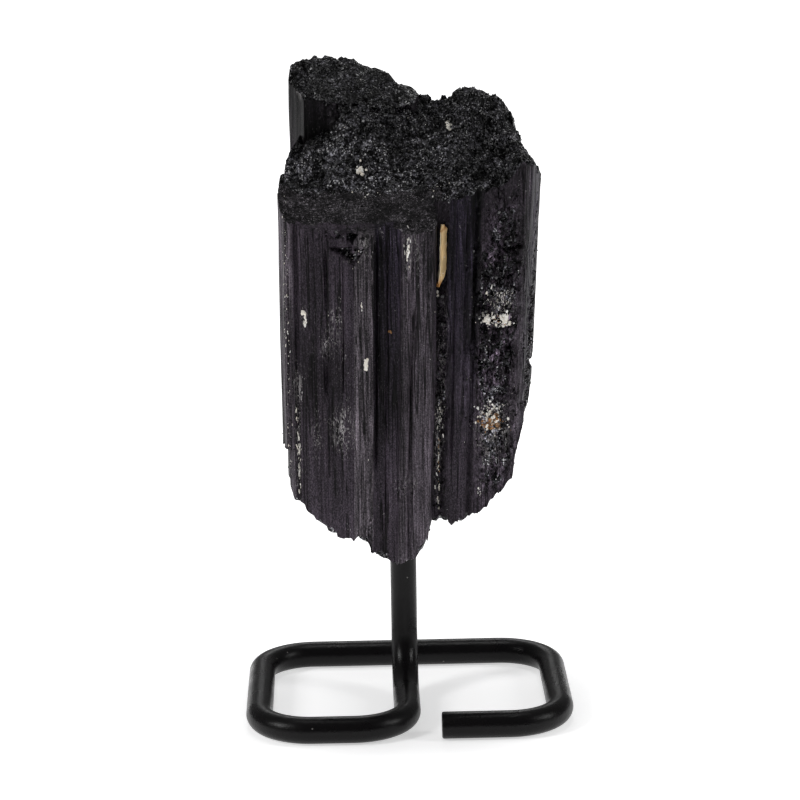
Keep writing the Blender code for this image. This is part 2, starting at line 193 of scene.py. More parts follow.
# Patches where the sides are broken: x, y, z, radius across, radius along Z and strength.
ROUGH_PATCHES = (
    (19.9, -17.5, 107.0, 3.7, 8.0, 1.3),
    (20.6, -17.5, 117.0, 3.4, 5.0, 0.4),
    (19.9, -17.4, 92.0, 3.9, 12.0, 1.6),
    (19.9, -17.4, 76.0, 3.7, 12.0, 1.2),
    (20.5, -17.4, 62.0, 3.8, 8.0, 0.8),
    (27.6, -10.0, 76.0, 3.5, 12.0, 1.0),
    (28.0, -8.0, 104.0, 3.0, 16.0, 0.3),
    (8.0, -17.0, 80.0, 1.3, 24.0, 1.0),
    (28.4, -8.0, 92.0, 3.0, 8.0, 0.8),
    (-7.2, -21.0, 46.0, 0.9, 4.0, 0.8),
    (-17.2, -21.0, 86.0, 1.0, 1.6, 0.8),
    (1.6, -21.4, 57.0, 2.2, 2.0, 0.7),
    (-9.0, 4.0, 138.0, 5.0, 5.0, 1.8),
    (-15.5, 4.0, 138.0, 2.4, 3.0, 0.7),
    (0.0, 5.0, 138.0, 5.0, 5.0, 1.6),
    (-13.5, -20.8, 112.6, 4.4, 1.2, 0.7),
)

# Triangular hollows in the front: left x, right x and z of the upper edge, x and z of the
# lowest corner, and depth.
HOLLOWS = (
    (-17.2, -8.0, 110.4, -10.6, 106.0, 0.7),
    (-13.6, -9.4, 114.5, -11.4, 110.4, 1.0),
    (15.6, 24.0, 103.0, 20.5, 99.6, 1.5),
    (19.5, 25.0, 109.6, 24.0, 106.6, 1.2),
    (15.0, 20.5, 97.0, 16.0, 90.5, 1.6),
    (16.5, 23.8, 91.8, 19.0, 86.8, 1.5),
)

HOLLOW_LIMIT_Y = -14.0

# Tones of the ribs, in plan: lowest and highest x, lowest and highest y, blue and pale. Blue is a bluer,
# darker tint that is partly painted shade on recessed ribs, and pale is a paler tone that is partly
# painted light on ribs that face the lamps.
RIB_TONES = (
    (-19.6, 6.0, 1.0, 9.0, 0.4, 0.3),
    (-26.8, -24.0, -20.5, -12.0, 0.0, 0.5),
    (-11.0, -6.7, -22.5, -19.5, 0.0, 0.8),
    (-6.6, -1.2, -21.0, -18.0, 0.9, 0.0),
    (-1.0, 6.0, -22.5, -18.5, 0.2, 0.45),
    (9.0, 15.6, -19.0, -15.0, 1.0, 0.0),
    (23.2, 25.8, -18.0, -15.0, 0.3, 0.3),
    (25.8, 30.0, -16.0, 4.0, 0.7, 0.0),
)

# Patches of pale dust on the sides: x, y, z, radius across, radius along Z and strength.
DUST_PATCHES = (
    (-11.3, -20.7, 108.0, 1.7, 1.8, 1.0),
    (-9.0, -20.9, 112.0, 1.6, 1.6, 0.7),
    (-22.5, 5.0, 140.0, 2.2, 2.0, 0.9),
    (-25.6, -18.5, 92.0, 0.8, 30.0, 0.8),
    (-23.4, -19.8, 66.0, 0.7, 14.0, 0.9),
    (-21.6, -20.2, 94.5, 0.9, 3.5, 0.7),
    (-14.9, -20.7, 92.5, 1.9, 7.0, 0.8),
    (-17.4, -20.5, 87.5, 0.9, 3.0, 0.8),
    (-23.4, -19.8, 80.5, 1.3, 3.5, 0.7),
    (-8.7, -21.7, 108.0, 1.4, 5.0, 0.5),
    (-5.8, -20.1, 104.5, 0.5, 2.5, 0.7),
    (1.2, -21.3, 108.5, 1.8, 6.5, 0.9),
    (-19.5, -20.4, 69.0, 1.4, 5.5, 0.6),
    (-13.6, -20.7, 70.0, 3.0, 6.0, 0.9),
    (1.4, -21.3, 57.0, 2.4, 2.6, 0.6),
    (21.4, -17.2, 95.8, 2.6, 3.0, 0.9),
    (8.4, -17.0, 86.0, 1.4, 16.0, 0.9),
    (28.4, -7.0, 88.0, 3.0, 12.0, 0.7),
    (7.6, -17.0, 65.0, 1.3, 14.0, 0.8),
    (19.6, -17.6, 70.0, 4.0, 6.5, 0.9),
    (17.4, -17.6, 54.7, 0.8, 2.0, 0.7),
    (20.4, -17.4, 100.0, 3.0, 4.0, 0.6),
    (20.2, -17.4, 63.0, 3.6, 5.0, 0.8),
    (-15.7, -6.9, 123.7, 1.9, 2.2, 1.0),
    (-21.0, -4.7, 125.7, 1.9, 2.0, 0.8),
    (-16.3, -2.7, 128.8, 1.8, 2.2, 0.9),
    (-4.5, -2.6, 128.1, 2.4, 2.2, 0.8),
    (-8.0, -6.9, 121.4, 2.0, 1.8, 0.7),
    (-13.8, 1.6, 133.5, 1.5, 1.8, 0.9),
    (-9.3, 1.6, 133.8, 1.9, 1.9, 0.9),
    (-21.1, 9.5, 142.5, 2.0, 2.6, 0.3),
    (-1.1, 6.3, 136.0, 1.8, 2.0, 0.3),
    (5.4, 9.9, 134.8, 1.8, 2.4, 0.5),
    (16.1, 10.3, 136.8, 3.0, 3.0, 0.5),
    (12.0, -13.0, 121.5, 2.4, 2.0, 0.9),
    (21.0, -6.0, 126.0, 3.0, 3.0, 0.5),
    (-1.0, -9.0, 119.6, 3.4, 1.2, 0.7),
)

# Painted shade on dark places where little light gets in, and painted light where the strength is below
# 0: x, y, z, radius across, radius along Z, strength.
SHADE_AND_LIGHT_PATCHES = (
    (19.0, -17.5, 82.0, 4.0, 14.0, -0.7),
    (-15.8, 3.0, 131.6, 3.4, 2.6, 0.9),
    (-18.0, 4.0, 137.0, 3.6, 5.0, 0.3),
    (-11.0, 3.6, 136.8, 4.0, 1.6, 0.6),
    (-3.0, 5.0, 136.6, 3.0, 1.4, 0.4),
    (-12.0, 12.0, 142.0, 14.0, 6.0, 0.3),
    (-23.0, 6.5, 134.0, 4.0, 11.0, 0.85),
    (14.5, -7.0, 125.0, 4.0, 3.0, 0.45),
    (15.5, -12.5, 122.6, 6.0, 4.0, 0.7),
    (-23.4, 10.0, 141.0, 2.4, 6.0, 0.5),
    (-4.0, -20.0, 60.0, 2.6, 14.0, -0.9),
    (-21.2, 2.4, 130.6, 3.2, 2.4, 0.9),
    (-23.2, 1.5, 128.5, 1.6, 2.4, 0.9),
    (-17.8, -4.6, 125.3, 1.7, 1.8, 0.9),
    (-19.0, -9.6, 119.0, 3.0, 1.5, 0.6),
    (-12.0, -9.6, 118.6, 3.0, 1.5, 0.5),
    (-8.0, -9.6, 118.6, 2.6, 1.4, 0.6),
    (3.0, -8.4, 120.6, 4.0, 2.4, 0.7),
    (8.5, -13.0, 120.0, 2.0, 2.0, 0.5),
    (-17.15, -20.6, 82.6, 0.5, 3.2, 1.1),
    (12.4, 11.8, 138.0, 2.4, 2.6, 0.6),
    (-6.0, 14.0, 143.0, 2.6, 3.0, 0.4),
    (19.5, 3.0, 126.5, 3.4, 3.4, 0.9),
    (21.5, -4.0, 126.0, 3.0, 3.0, 0.6),
    (21.1, -13.0, 126.5, 3.0, 2.2, 0.6),
    (5.4, 7.0, 132.5, 2.2, 2.4, 0.5),
    (-12.0, -4.5, 125.0, 1.6, 1.6, 0.5),
    (-3.0, 1.5, 131.5, 2.2, 1.8, 0.5),
    (11.0, -4.0, 126.0, 2.4, 2.2, 0.5),
    (15.0, -17.2, 96.0, 0.9, 60.0, 0.8),
    (22.5, -17.3, 108.3, 2.4, 1.0, 1.0),
    (18.5, -17.5, 102.8, 3.0, 0.9, 0.9),
    (17.2, -17.5, 95.0, 1.7, 5.0, 0.9),
    (19.0, -17.5, 88.6, 3.4, 1.6, 0.8),
    (17.5, -17.5, 82.0, 1.2, 3.0, 0.6),
    (18.6, -17.5, 74.6, 2.6, 1.0, 0.8),
    (-11.8, -21.0, 113.2, 1.1, 1.0, 0.4),
    (-13.6, -21.0, 109.9, 2.6, 0.5, 0.3),
    (28.2, -6.0, 100.0, 3.6, 90.0, 0.6),
)

# Painted light on the faces low down, where the floor lights them, and painted shade over the upper end,
# and how much bluer the blue ones are high up, as (z, factor) points.
LIGHT_AND_SHADE_BY_HEIGHT = ((50.0, 1.15), (80.0, 1.05), (110.0, 0.95), (126.0, 0.9), (132.0, 0.52))
BLUE_FADE = ((55.0, 0.0), (80.0, 0.5), (105.0, 1.0))

# Spacing of points: where a prism is hidden in another, how deep that is, and how far back the
# close spacing of the front goes.
HIDDEN_SPACING = 2.4
HIDDEN_DEPTH = 1.5
FRONT_LIMIT_Y = -10.0

# Edges longer than this are halved where the sides are broken or dented by more than this.
FINE_EDGE = 0.42
LEAST_ROUGHNESS = 0.04

# Height from MIDDLE_Z at which a fibre's search for its upper or lower end begins.
FIBRE_START = 35.0

# The noise that nudges points over the broken ends starts from the clock unless it is seeded.
NUDGE_SEED = 4

# Edges that turn by more than this many degrees stay sharp.
CRYSTAL_SMOOTH_ANGLE = 38
ROD_SMOOTH_ANGLE = 30

HALF = Vector((0.5, 0.5, 0.5))

# Places of the three finishes on the crystal.
FACE_SLOT = 0
BREAK_SLOT = 1
LEDGE_SLOT = 2

# Flat faces that strike the corners off a grain: normal, and distance from its middle.
GRAIN_CUTS = (
    ((1.0, 0.8, 0.7), 0.42),
    ((-0.9, 0.5, 0.9), 0.45),
    ((0.3, -1.0, 0.8), 0.43),
    ((-0.6, -0.7, -0.9), 0.44),
    ((0.9, -0.4, -0.8), 0.46),
)

# Flecks on the front: kind, x and z of the middle, spread across and along Z, count,
# smallest and largest size, and how slender they are.
FRONT_FLECKS = (
    ("pale", -25.4, 93.0, 0.3, 20.0, 80, 0.06, 0.2, 3.0),
    ("pale", -10.9, 108.0, 0.9, 1.1, 6, 0.12, 0.3, 1.4),
    ("pale", 20.8, 97.0, 1.8, 1.6, 50, 0.08, 0.24, 1.4),
    ("pale", -23.5, 65.0, 0.2, 5.5, 46, 0.1, 0.34, 4.0),
    ("pale", -21.8, 95.6, 0.2, 0.4, 12, 0.3, 0.7, 1.6),
    ("pale", -21.4, 94.4, 0.2, 0.9, 20, 0.15, 0.4, 2.0),
    ("pale", -9.2, 97.2, 0.1, 0.9, 7, 0.12, 0.3, 2.4),
    ("pale", -8.5, 84.2, 0.13, 0.75, 30, 0.3, 0.6, 1.8),
    ("pale", 0.9, 109.6, 0.3, 1.3, 26, 0.1, 0.24, 6.0),
    ("pale", 7.3, 98.9, 0.12, 0.4, 8, 0.2, 0.4, 1.6),
    ("pale", 7.4, 70.8, 0.5, 1.8, 34, 0.1, 0.34, 3.0),
    ("pale", 7.0, 62.0, 0.12, 2.6, 16, 0.1, 0.24, 5.0),
    ("pale", 6.8, 53.0, 0.2, 1.6, 9, 0.1, 0.26, 3.4),
    ("pale", 15.7, 54.5, 0.3, 0.6, 8, 0.12, 0.35, 1.3),
    ("pale", 17.9, 93.1, 0.7, 0.5, 50, 0.3, 0.9, 0.9),
    ("pale", 21.9, 92.9, 0.5, 0.6, 40, 0.3, 0.8, 1.0),
    ("pale", 19.8, 92.3, 1.7, 0.7, 70, 0.15, 0.5, 1.0),
    ("pale", 20.8, 97.4, 1.5, 1.5, 44, 0.1, 0.32, 3.0),
    ("pale", 18.8, 71.2, 1.4, 1.7, 150, 0.12, 0.5, 1.4),
    ("ochre", 20.0, 92.4, 1.2, 0.5, 24, 0.15, 0.5, 1.0),
    ("ochre", 18.8, 69.8, 1.1, 1.0, 130, 0.15, 0.55, 1.2),
    ("ochre", -3.3, 91.0, 0.15, 0.3, 7, 0.2, 0.4, 1.0),
    ("ochre", 7.0, 61.0, 0.15, 3.0, 14, 0.12, 0.3, 1.8),
    ("pale", 0.0, 75.0, 14.0, 22.0, 40, 0.06, 0.14, 2.0),
)

# Flecks on the broken upper end: kind, x and y of the middle, half width, half depth, count,
# smallest and largest size.
TOP_FLECKS = (
    ("pale", -8.9, -5.0, 0.35, 0.5, 34, 0.35, 0.9),
    ("pale", 10.9, 6.1, 0.3, 0.7, 34, 0.3, 0.8),
    ("pale", 0.0, 1.0, 12.0, 6.0, 30, 0.08, 0.22),
    ("pale", 9.0, -11.0, 2.0, 0.7, 8, 0.12, 0.4),
    ("pale", -7.0, -9.8, 2.0, 0.4, 6, 0.15, 0.4),
)

# The tan flake: its edges as (share of the way down, x) points, and its place.
FLAKE_LEFT = ((0.0, 8.2), (0.06, 8.0), (0.6, 7.8), (0.88, 7.45), (1.0, 7.3))
FLAKE_RIGHT = (
    (0.0, 8.75), (0.03, 8.9), (0.06, 9.45), (0.72, 9.1), (0.84, 8.5), (0.94, 7.75), (1.0, 7.4),
)
FLAKE_TOP_Z = 114.0
FLAKE_LENGTH = 13.6
FLAKE_Y = -17.6
FLAKE_THICKNESS = 0.7

# Soft boxes: name, place, power, width and depth, in metres and watts.
SOFT_BOXES = (
    ("top_box", (0.0, 0.1, 0.9), 1.2, 0.35, 0.25),
    ("back_box", (0.0, 0.9, 0.6), 1.0, 0.35, 0.25),
    ("left_box", (-0.8, -0.35, 0.6), 4.0, 0.2, 0.35),
    ("right_box", (0.85, -0.25, 0.5), 2.4, 0.16, 0.35),
)
SENSOR_WIDTH = 36.0

# A dark card lies in front, out of the camera's view, and keeps the upper faces darker.
DARK_CARD_PLACE = (0.0, -1.3, 0.004)
DARK_CARD_SIZE = (3.0, 2.0)

# Point that the soft boxes face.
LAMP_TARGET = (0.0, 0.0, 0.09)

# Light of the room by direction: axis, from and to on that axis, and the strength at each.
ROOM_LIGHT = (
    ("Z", -0.1, 1.0, 0.02, 0.12),
    ("Y", -0.6, 0.8, 0.0, 0.12),
)

# Colours that go into the finishes, besides those that the settings hold.
CRACK_COLOUR = (0.0008, 0.0008, 0.0008)
FACE_DUST_COLOUR = (0.42, 0.40, 0.41)
SCRATCH_COLOUR = (0.40, 0.38, 0.38)
# Colour of the painted glints and of the pale dust chips on the breaks.
GLINT_AND_CHIP_COLOUR = (0.85, 0.84, 0.86)
LEDGE_COLOUR = (0.0122, 0.0112, 0.0124)
DUST_COLOUR = (0.30, 0.29, 0.29)
PALE_GRAIN_COLOUR = (0.16, 0.158, 0.165)
SHADED_PALE_COLOUR = (0.82, 0.76, 0.66)
SHADED_OCHRE_COLOUR = (0.16, 0.08, 0.03)
CREAM_COLOUR = (0.9, 0.8, 0.6)
ROD_DUST_COLOUR = (0.30, 0.29, 0.28)
SAWN_COLOUR = (0.02, 0.02, 0.02)
STEEL_COLOUR = (0.22, 0.21, 0.2)
PAPER_COLOUR = (0.84, 0.84, 0.845)
CARD_COLOUR = (0.02, 0.02, 0.02)

# Plan outlines at MIDDLE_Z, anticlockwise.
CORE_OUTLINE = (
    (6.2, -13.4), (6.4, -16.6), (8.4, -16.9), (8.9, -17.7), (14.3, -18.0), (14.6, -16.9),
    (15.3, -17.5), (19.4, -17.8), (24.4, -16.8), (24.7, -17.4), (26.2, -15.7), (27.3, -11.5),
    (28.6, -6.0), (28.9, -1.0),
    (28.3, 3.5), (26.9, 4.4), (27.2, 6.4), (25.4, 12.5), (22.4, 17.2), (21.0, 17.4),
    (19.4, 19.6), (13.0, 22.4), (6.6, 23.6), (5.8, 22.3), (3.0, 22.6), (-6.0, 22.4),
    (-16.0, 20.4), (-21.0, 15.6), (-22.4, 8.0), (-22.8, 4.2), (-24.6, 1.6), (-25.6, -3.0),
    (-25.2, -9.0), (-20.0, -13.0), (0.0, -13.5),
)
SLAB_OUTLINE = (
    (-25.6, -8.0), (-26.0, -14.0), (-25.3, -18.4), (-24.0, -19.8), (-23.3, -19.1),
    (-22.6, -20.1), (-17.2, -20.6), (-16.9, -20.2), (-16.5, -20.6), (-10.9, -20.8),
    (-8.9, -21.8), (-6.8, -21.7), (-6.5, -19.8), (-1.4, -20.2), (-0.9, -21.2), (0.8, -21.7),
    (1.4, -20.9), (2.1, -21.7), (5.6, -20.8), (6.5, -19.2), (6.6, -14.0), (7.6, -8.5),
    (4.0, -3.0), (-10.0, -1.5), (-21.5, -3.0),
)
EDGE_OUTLINE = (
    (-23.7, -19.3), (-22.0, -15.0), (-21.6, -7.0), (-24.4, -4.6), (-26.5, -7.2),
    (-27.0, -12.0), (-26.8, -16.4), (-25.8, -19.0), (-24.6, -19.9),
)
BLOCK_OUTLINE = (
    (-21.4, 3.7), (-16.4, 4.4), (-13.0, 3.2), (-9.0, 4.2), (-5.6, 3.4), (-2.5, 5.0),
    (2.0, 7.5), (3.0, 14.0), (2.2, 20.0), (1.6, 23.4), (-3.0, 24.3), (-9.2, 24.4),
    (-10.0, 23.3), (-11.2, 24.2), (-17.8, 21.8), (-22.2, 18.4), (-22.8, 16.9), (-24.2, 15.6),
    (-24.6, 9.6),
)


def length(name, description, default):
    """A length property, whose default is given in millimetres."""
    return FloatProperty(
        name=name, description=description, default=default * MM, min=0.0, unit="LENGTH", precision=5
    )


def angle(name, description, default):
    """An angle property, whose default is given in degrees."""
    return FloatProperty(
        name=name, description=description, default=math.radians(default), unit="ROTATION"
    )


def colour(name, description, default):
    return FloatVectorProperty(
        name=name, description=description, default=default, size=3, min=0.0, max=1.0, subtype="COLOR"
    )


class CrystalSettings(bpy.types.PropertyGroup):
    front_spacing: length("Front spacing", "Distance between points along the front outline", 0.22)
    back_spacing: length("Back spacing", "Distance between points along the back outline", 0.7)
    ring_spacing: length("Ring spacing", "Height between rings of points up the sides", 1.1)
    cap_spacing: length("Cap spacing", "Distance between points over the broken upper end", 0.38)
    foot_spacing: length("Foot spacing", "Distance between points over the broken lower end", 0.9)
    face_colour: colour("Face colour", "Colour of the flat, ribbed faces", (0.027, 0.0215, 0.0285))
    # The blue colour is a bluer tint and partly painted shade, the pale rib colour partly painted light.
    blue_and_shaded_colour: colour("Blue colour", "Colour of the bluer faces", (0.0125, 0.0100, 0.0165))
    pale_and_lit_rib_colour: colour("Pale rib colour", "Colour of the paler ribs", (0.060, 0.052, 0.060))
    break_colour: colour("Break colour", "Colour of the broken surfaces", (0.0095, 0.0093, 0.0105))


class GrainSettings(bpy.types.PropertyGroup):
    count: IntProperty(name="Grains", description="Grains on the broken surfaces", default=4200, min=0)
    smallest: length("Smallest grain", "Size of the smallest grain", 0.14)
    largest: length("Largest grain", "Size of the largest grain", 0.62)


class MineralSettings(bpy.types.PropertyGroup):
    flake_colour: colour("Flake colour", "Colour of the tan flake", (0.80, 0.55, 0.26))
    pale_colour: colour("Pale colour", "Colour of the pale crusts", (0.97, 0.96, 0.93))
    ochre_colour: colour("Ochre colour", "Colour of the rusty crusts", (0.42, 0.20, 0.06))


class RodSettings(bpy.types.PropertyGroup):
    diameter: length("Diameter", "Diameter of the rod", 6.0)
    sides: IntProperty(name="Sides", description="Points round the rod", default=48, min=12)
    bend_steps: IntProperty(name="Bend steps", description="Steps in each bend", default=18, min=4)
    end_chamfer: length("End chamfer", "Chamfer round the sawn end", 0.35)
    coat_colour: colour("Coat colour", "Colour of the powder coat", (0.0045, 0.0040, 0.0044))


class StageSettings(bpy.types.PropertyGroup):
    floor_size: length("Floor size", "Width of the floor", 80000.0)
    lens: FloatProperty(name="Lens", description="Focal length in millimetres", default=135.0)
    distance: length("Distance", "Distance from the camera to its target", 672.6)
    target: FloatVectorProperty(
        name="Target",
        description="Point that the camera looks at",
        default=(-0.906 * MM, 0.7 * MM, 70.98 * MM),
        subtype="TRANSLATION",
    )
    yaw: angle("Yaw", "Turn of the camera to the right", 1.025)
    pitch: angle("Pitch", "Tilt of the camera downwards", 13.591)
    roll: angle("Roll", "Turn of the camera about its own axis", -0.906)


# ---------------------------------------------------------------- shape of the crystal


def clamp(value):
    """The value, held between 0 and 1."""
    return min(1.0, max(0.0, value))


def ringed(values):
    """Each value of a closed ring between the one before it and the one after it."""
    return zip(values[-1:] + values[:-1], values, values[1:] + values[:1])


def between(points, x):
    """Straight-line value at x of a list of (x, value) points, held level past both ends."""
    if x <= points[0][0]:
        return points[0][1]
    for (x0, v0), (x1, v1) in zip(points, points[1:]):
        if x <= x1:
            return v0 + (v1 - v0) * (x - x0) / (x1 - x0)
    return points[-1][1]


def line_height(lines, x, y):
    """Height at (x, y) of a surface that is given along lines running front to back."""
    return between([(line_x, between(points, y)) for line_x, points in lines], x)


def lumps_at(x, y):
    total = 0.0
    for lump_x, lump_y, radius, height in LUMPS:
        total += height * math.exp(-((x - lump_x) ** 2 + (y - lump_y) ** 2) / radius**2)
    return total


def rubble(x, y, seed):
    """Coarse and middling lumps of a broken surface, about 1.5 mm high."""
    coarse = noise.noise(Vector((x * 0.22, y * 0.22, seed)))
    middling = noise.noise(Vector((x * 0.55, y * 0.55, seed + 7.0)))
    return 1.1 * coarse + 0.7 * middling


def facets(spot, tilt, step, seed):
    """Height of a surface broken into flat facets of unit size, each at a level of its own."""
    middle = noise.voronoi(spot)[1][0]
    own = noise.cell_vector(middle * 9.7 + Vector((seed, seed, seed))) - HALF
    return 2.0 * tilt * own.dot(spot - middle) + step * own.z


def gravel(x, y, z, seed):
    """Broken facets of about 3 mm, with smaller ones and single grains on them."""
    spot = Vector((x, y, z))
    aside = Vector((seed, 0.0, 0.0))
    total = facets(spot * 0.3 + aside, 1.0, 0.8, seed)
    total += facets(spot * 0.75 + aside, 0.5, 0.5, seed)
    total += facets(spot * 1.7 + aside, 0.25, 0.25, seed)
    return total + 0.15 * noise.noise(spot * 2.3 + aside) - 0.25


def fibre_ends(x, y, seed):
    """Step from one broken rib to the next along the lower end."""
    broad = noise.cell(Vector((x * 0.45, y * 0.45, seed)))
    narrow = noise.noise(Vector((x * 1.3, y * 1.3, seed + 2.0)))
    return 0.9 * (broad - 0.5) + 0.7 * narrow


def slope_top(x, y):
    """The slope, with coarser rubble towards the front."""
    coarseness = 1.0 + 0.45 * clamp((12.0 - y) / 4.0)
    base = line_height(SLOPE_LINES, x, y) + lumps_at(x, y) + coarseness * rubble(x, y, 1.0)
    return base + gravel(x, y, base, 1.0)


def block_top(x, y):
    base = line_height(BLOCK_LINES, x, y) + 0.8 * rubble(x, y, 2.0)
    return base + 0.8 * gravel(x, y, base, 2.0)


def ledge_top(x, y):
    """The ledge, chipped along its rim and rougher where it meets the slope."""
    rise = LEDGE_RISE * (y - LEDGE_FRONT_Y) + LEDGE_LEFT_RISE * max(0.0, LEDGE_LEFT_X - x)
    near_rim = clamp((LEDGE_RIM_Y - y) / 1.6)
    chips = near_rim * max(0.0, 1.1 * noise.noise(Vector((x * 0.8, 2.0, 6.0))))
    base = LEDGE_FRONT_Z + rise - chips + 0.35 * rubble(x, y, 3.0)
    roughness = 0.22 + 0.78 * clamp((y + 12.5) / 2.5)
    return base + roughness * gravel(x, y, base, 3.0)


def edge_top(x, y):
    """The ledge goes on over the left edge, with its rim a little raised."""
    return ledge_top(x, y) + 0.3 * (-24.6 - x)


def slab_foot(x, y):
    steps = fibre_ends(x, y, 4.0)
    return between(FRONT_FOOT, x) + 0.1 * (y + 20.0) + 0.8 * rubble(x, y, 4.0) + steps + FOOT_LIFT


def edge_foot(x, y):
    return EDGE_FOOT_Z + 0.2 * (y + 12.0) + 0.7 * rubble(x, y, 5.0) + fibre_ends(x, y, 5.0)


def core_foot(x, y):
    rear_rise = FOOT_REAR_RISE * max(0.0, y - FOOT_REAR_Y)
    steps = fibre_ends(x, y, 6.0)
    return between(BACK_FOOT, x) + rear_rise + 0.8 * rubble(x, y, 6.0) + steps + FOOT_LIFT


def block_foot(x, y):
    return BLOCK_FOOT_Z - 0.15 * (x + 24.0) + 0.8 * rubble(x, y, 8.0) + fibre_ends(x, y, 8.0)


def lean(x, y, z):
    """Moves a plan point of MIDDLE_Z to where the bundle has it at height z."""
    grow = 1.0 + TAPER * (z - MIDDLE_Z)
    return x * grow + LEAN * (z - MIDDLE_Z), y * grow


def meeting_height(surface, x, y, start):
    """Height at which the leaning fibre through plan point (x, y) meets a surface."""
    z = start
    for _ in range(2):
        z = surface(*lean(x, y, z))
    return z


def bell_sum(bells, x, y, z):
    """Sum of soft-edged bells, each x, y, z, radius across, radius along Z and height."""
    total = 0.0
    for bell_x, bell_y, bell_z, across, along, height in bells:
        spread = ((x - bell_x) ** 2 + (y - bell_y) ** 2) / across**2 + ((z - bell_z) / along) ** 2
        if spread < 9.0:
            total += height * math.exp(-spread)
    return total


def upright_plan(x, y, z):
    """The plan point whose fibre passes through (x, y, z). It undoes lean()."""
    grow = 1.0 + TAPER * (z - MIDDLE_Z)
    return (x - LEAN * (z - MIDDLE_Z)) / grow, y / grow


def rib_tone(x, y):
    """How blue and how pale the rib is at a plan point."""
    for low_x, high_x, low_y, high_y, blue, pale in RIB_TONES:
        if low_x < x < high_x and low_y < y < high_y:
            return blue, pale
    return 0.0, 0.0


def dullness(x, y, z):
    """1 on the duller, smoother ledge in front and 0 on the glassy breaks."""
    if z < LEDGE_LOWEST_Z or x > LEDGE_RIGHT_X:
        return 0.0
    return clamp((LEDGE_BACK_Y - y) / LEDGE_FADE)


def hollow_depth(x, y, z):
    """Depth of the triangular hollows. Their upper edge is steep and their sides slope."""
    deepest = 0.0
    if y > HOLLOW_LIMIT_Y:
        return deepest
    for left, right, top, low_x, low_z, depth in HOLLOWS:
        if left < x < right and low_z < z < top:
            down = (top - z) / (top - low_z)
            from_left = (x - left - (low_x - left) * down) / 1.8
            from_right = (right - x - (right - low_x) * down) / 1.4
            deepest = max(deepest, depth * min(1.0, (top - z) / 1.3, from_left, from_right))
    return deepest


def brokenness(x, y, z):
    """How broken a side is at a point, from 0 on a sound rib to 1."""
    broken = bell_sum(ROUGH_PATCHES, x, y, z)
    if broken > 0.05:
        broken += 0.5 * noise.noise(Vector((x * 0.5, y * 0.5, z * 0.2)))
    return min(1.0, max(0.0, broken, 2.0 * hollow_depth(x, y, z)))


def dent_depth(x, y, z):
    """Depth of the dents, which have flatter floors and steeper rims than a bell."""
    total = 0.0
    for dent_x, dent_y, dent_z, across, along, depth in DENTS:
        spread = ((x - dent_x) ** 2 + (y - dent_y) ** 2) / across**2 + ((z - dent_z) / along) ** 2
        if spread < 4.0:
            total += depth * math.exp(-spread * spread)
    return total


def split_depth(x, y, z):
    total = 0.0
    for split_x, split_y, low, high, width, depth in SPLITS:
        off = ((x - split_x) / width) ** 2
        if off < 6.0 and abs(y - split_y) < 2.5 and low < z < high:
            ends = min(1.0, (z - low) / 4.0, (high - z) / 4.0)
            total += depth * ends * math.exp(-off)
    return total


def ribs(x, y, z):
    """How far the ribs stand out at a point, less the splits between them."""
    height = 0.3 * noise.noise(Vector((x * 0.6, y * 0.6, z * 0.025)))
    height += 0.16 * noise.noise(Vector((x * 1.5, y * 1.5, z * 0.04 + 9.0)))
    height += 0.09 * noise.noise(Vector((x * 3.2, y * 3.2, z * 0.09 + 5.0)))
    return height - split_depth(x, y, z)


def break_depth(x, y, z, broken):
    """How deep the side is broken in at a point: facets of three sizes, dents and hollows."""
    depth = dent_depth(x, y, z) + hollow_depth(x, y, z)
    if broken > 0.0:
        rough = facets(Vector((x * 0.4, y * 0.4, z * 0.22)), 0.8, 0.9, 1.0)
        rough += facets(Vector((x * 0.9, y * 0.9, z * 0.5)), 0.5, 0.6, 3.0)
        rough += facets(Vector((x * 2.0, y * 2.0, z * 1.2)), 0.3, 0.3, 5.0)
        depth += broken * (0.7 - rough)
    return depth


class Prism:
    """One prism of the bundle: its plan outline, its broken top and its foot."""

    def __init__(self, name, outline, top, foot):
        self.name = name
        self.outline = outline
        self.top = top
        self.foot = foot


PRISMS = (
    Prism("core", CORE_OUTLINE, slope_top, core_foot),
    Prism("slab", SLAB_OUTLINE, ledge_top, slab_foot),
    Prism("edge", EDGE_OUTLINE, edge_top, edge_foot),
    Prism("block", BLOCK_OUTLINE, block_top, block_foot),
)


def inside_depth(outline, x, y):
    """How deep points lie inside a closed outline, in millimetres. Outside is negative."""
    x = np.atleast_1d(np.asarray(x, float))
    y = np.atleast_1d(np.asarray(y, float))
    nearest = np.full(x.shape, 1e9)
    inside = np.zeros(x.shape, bool)
    for (x0, y0), (x1, y1) in zip(outline, outline[1:] + outline[:1]):
        run_x, run_y = x1 - x0, y1 - y0
        along = ((x - x0) * run_x + (y - y0) * run_y) / (run_x**2 + run_y**2)
        along = np.clip(along, 0.0, 1.0)
        nearest = np.minimum(nearest, np.hypot(x - x0 - along * run_x, y - y0 - along * run_y))
        if run_y:
            crosses = ((y0 > y) != (y1 > y)) & (x < x0 + run_x * (y - y0) / run_y)
            inside ^= crosses
    return np.where(inside, nearest, -nearest)


def is_hidden(prism, x, y):
    """Whether plan points lie well inside another prism of the bundle."""
    hidden = np.zeros(np.atleast_1d(x).shape, bool)
    for other in PRISMS:
        if other is not prism:
            hidden |= inside_depth(other.outline, x, y) > HIDDEN_DEPTH
    return hidden


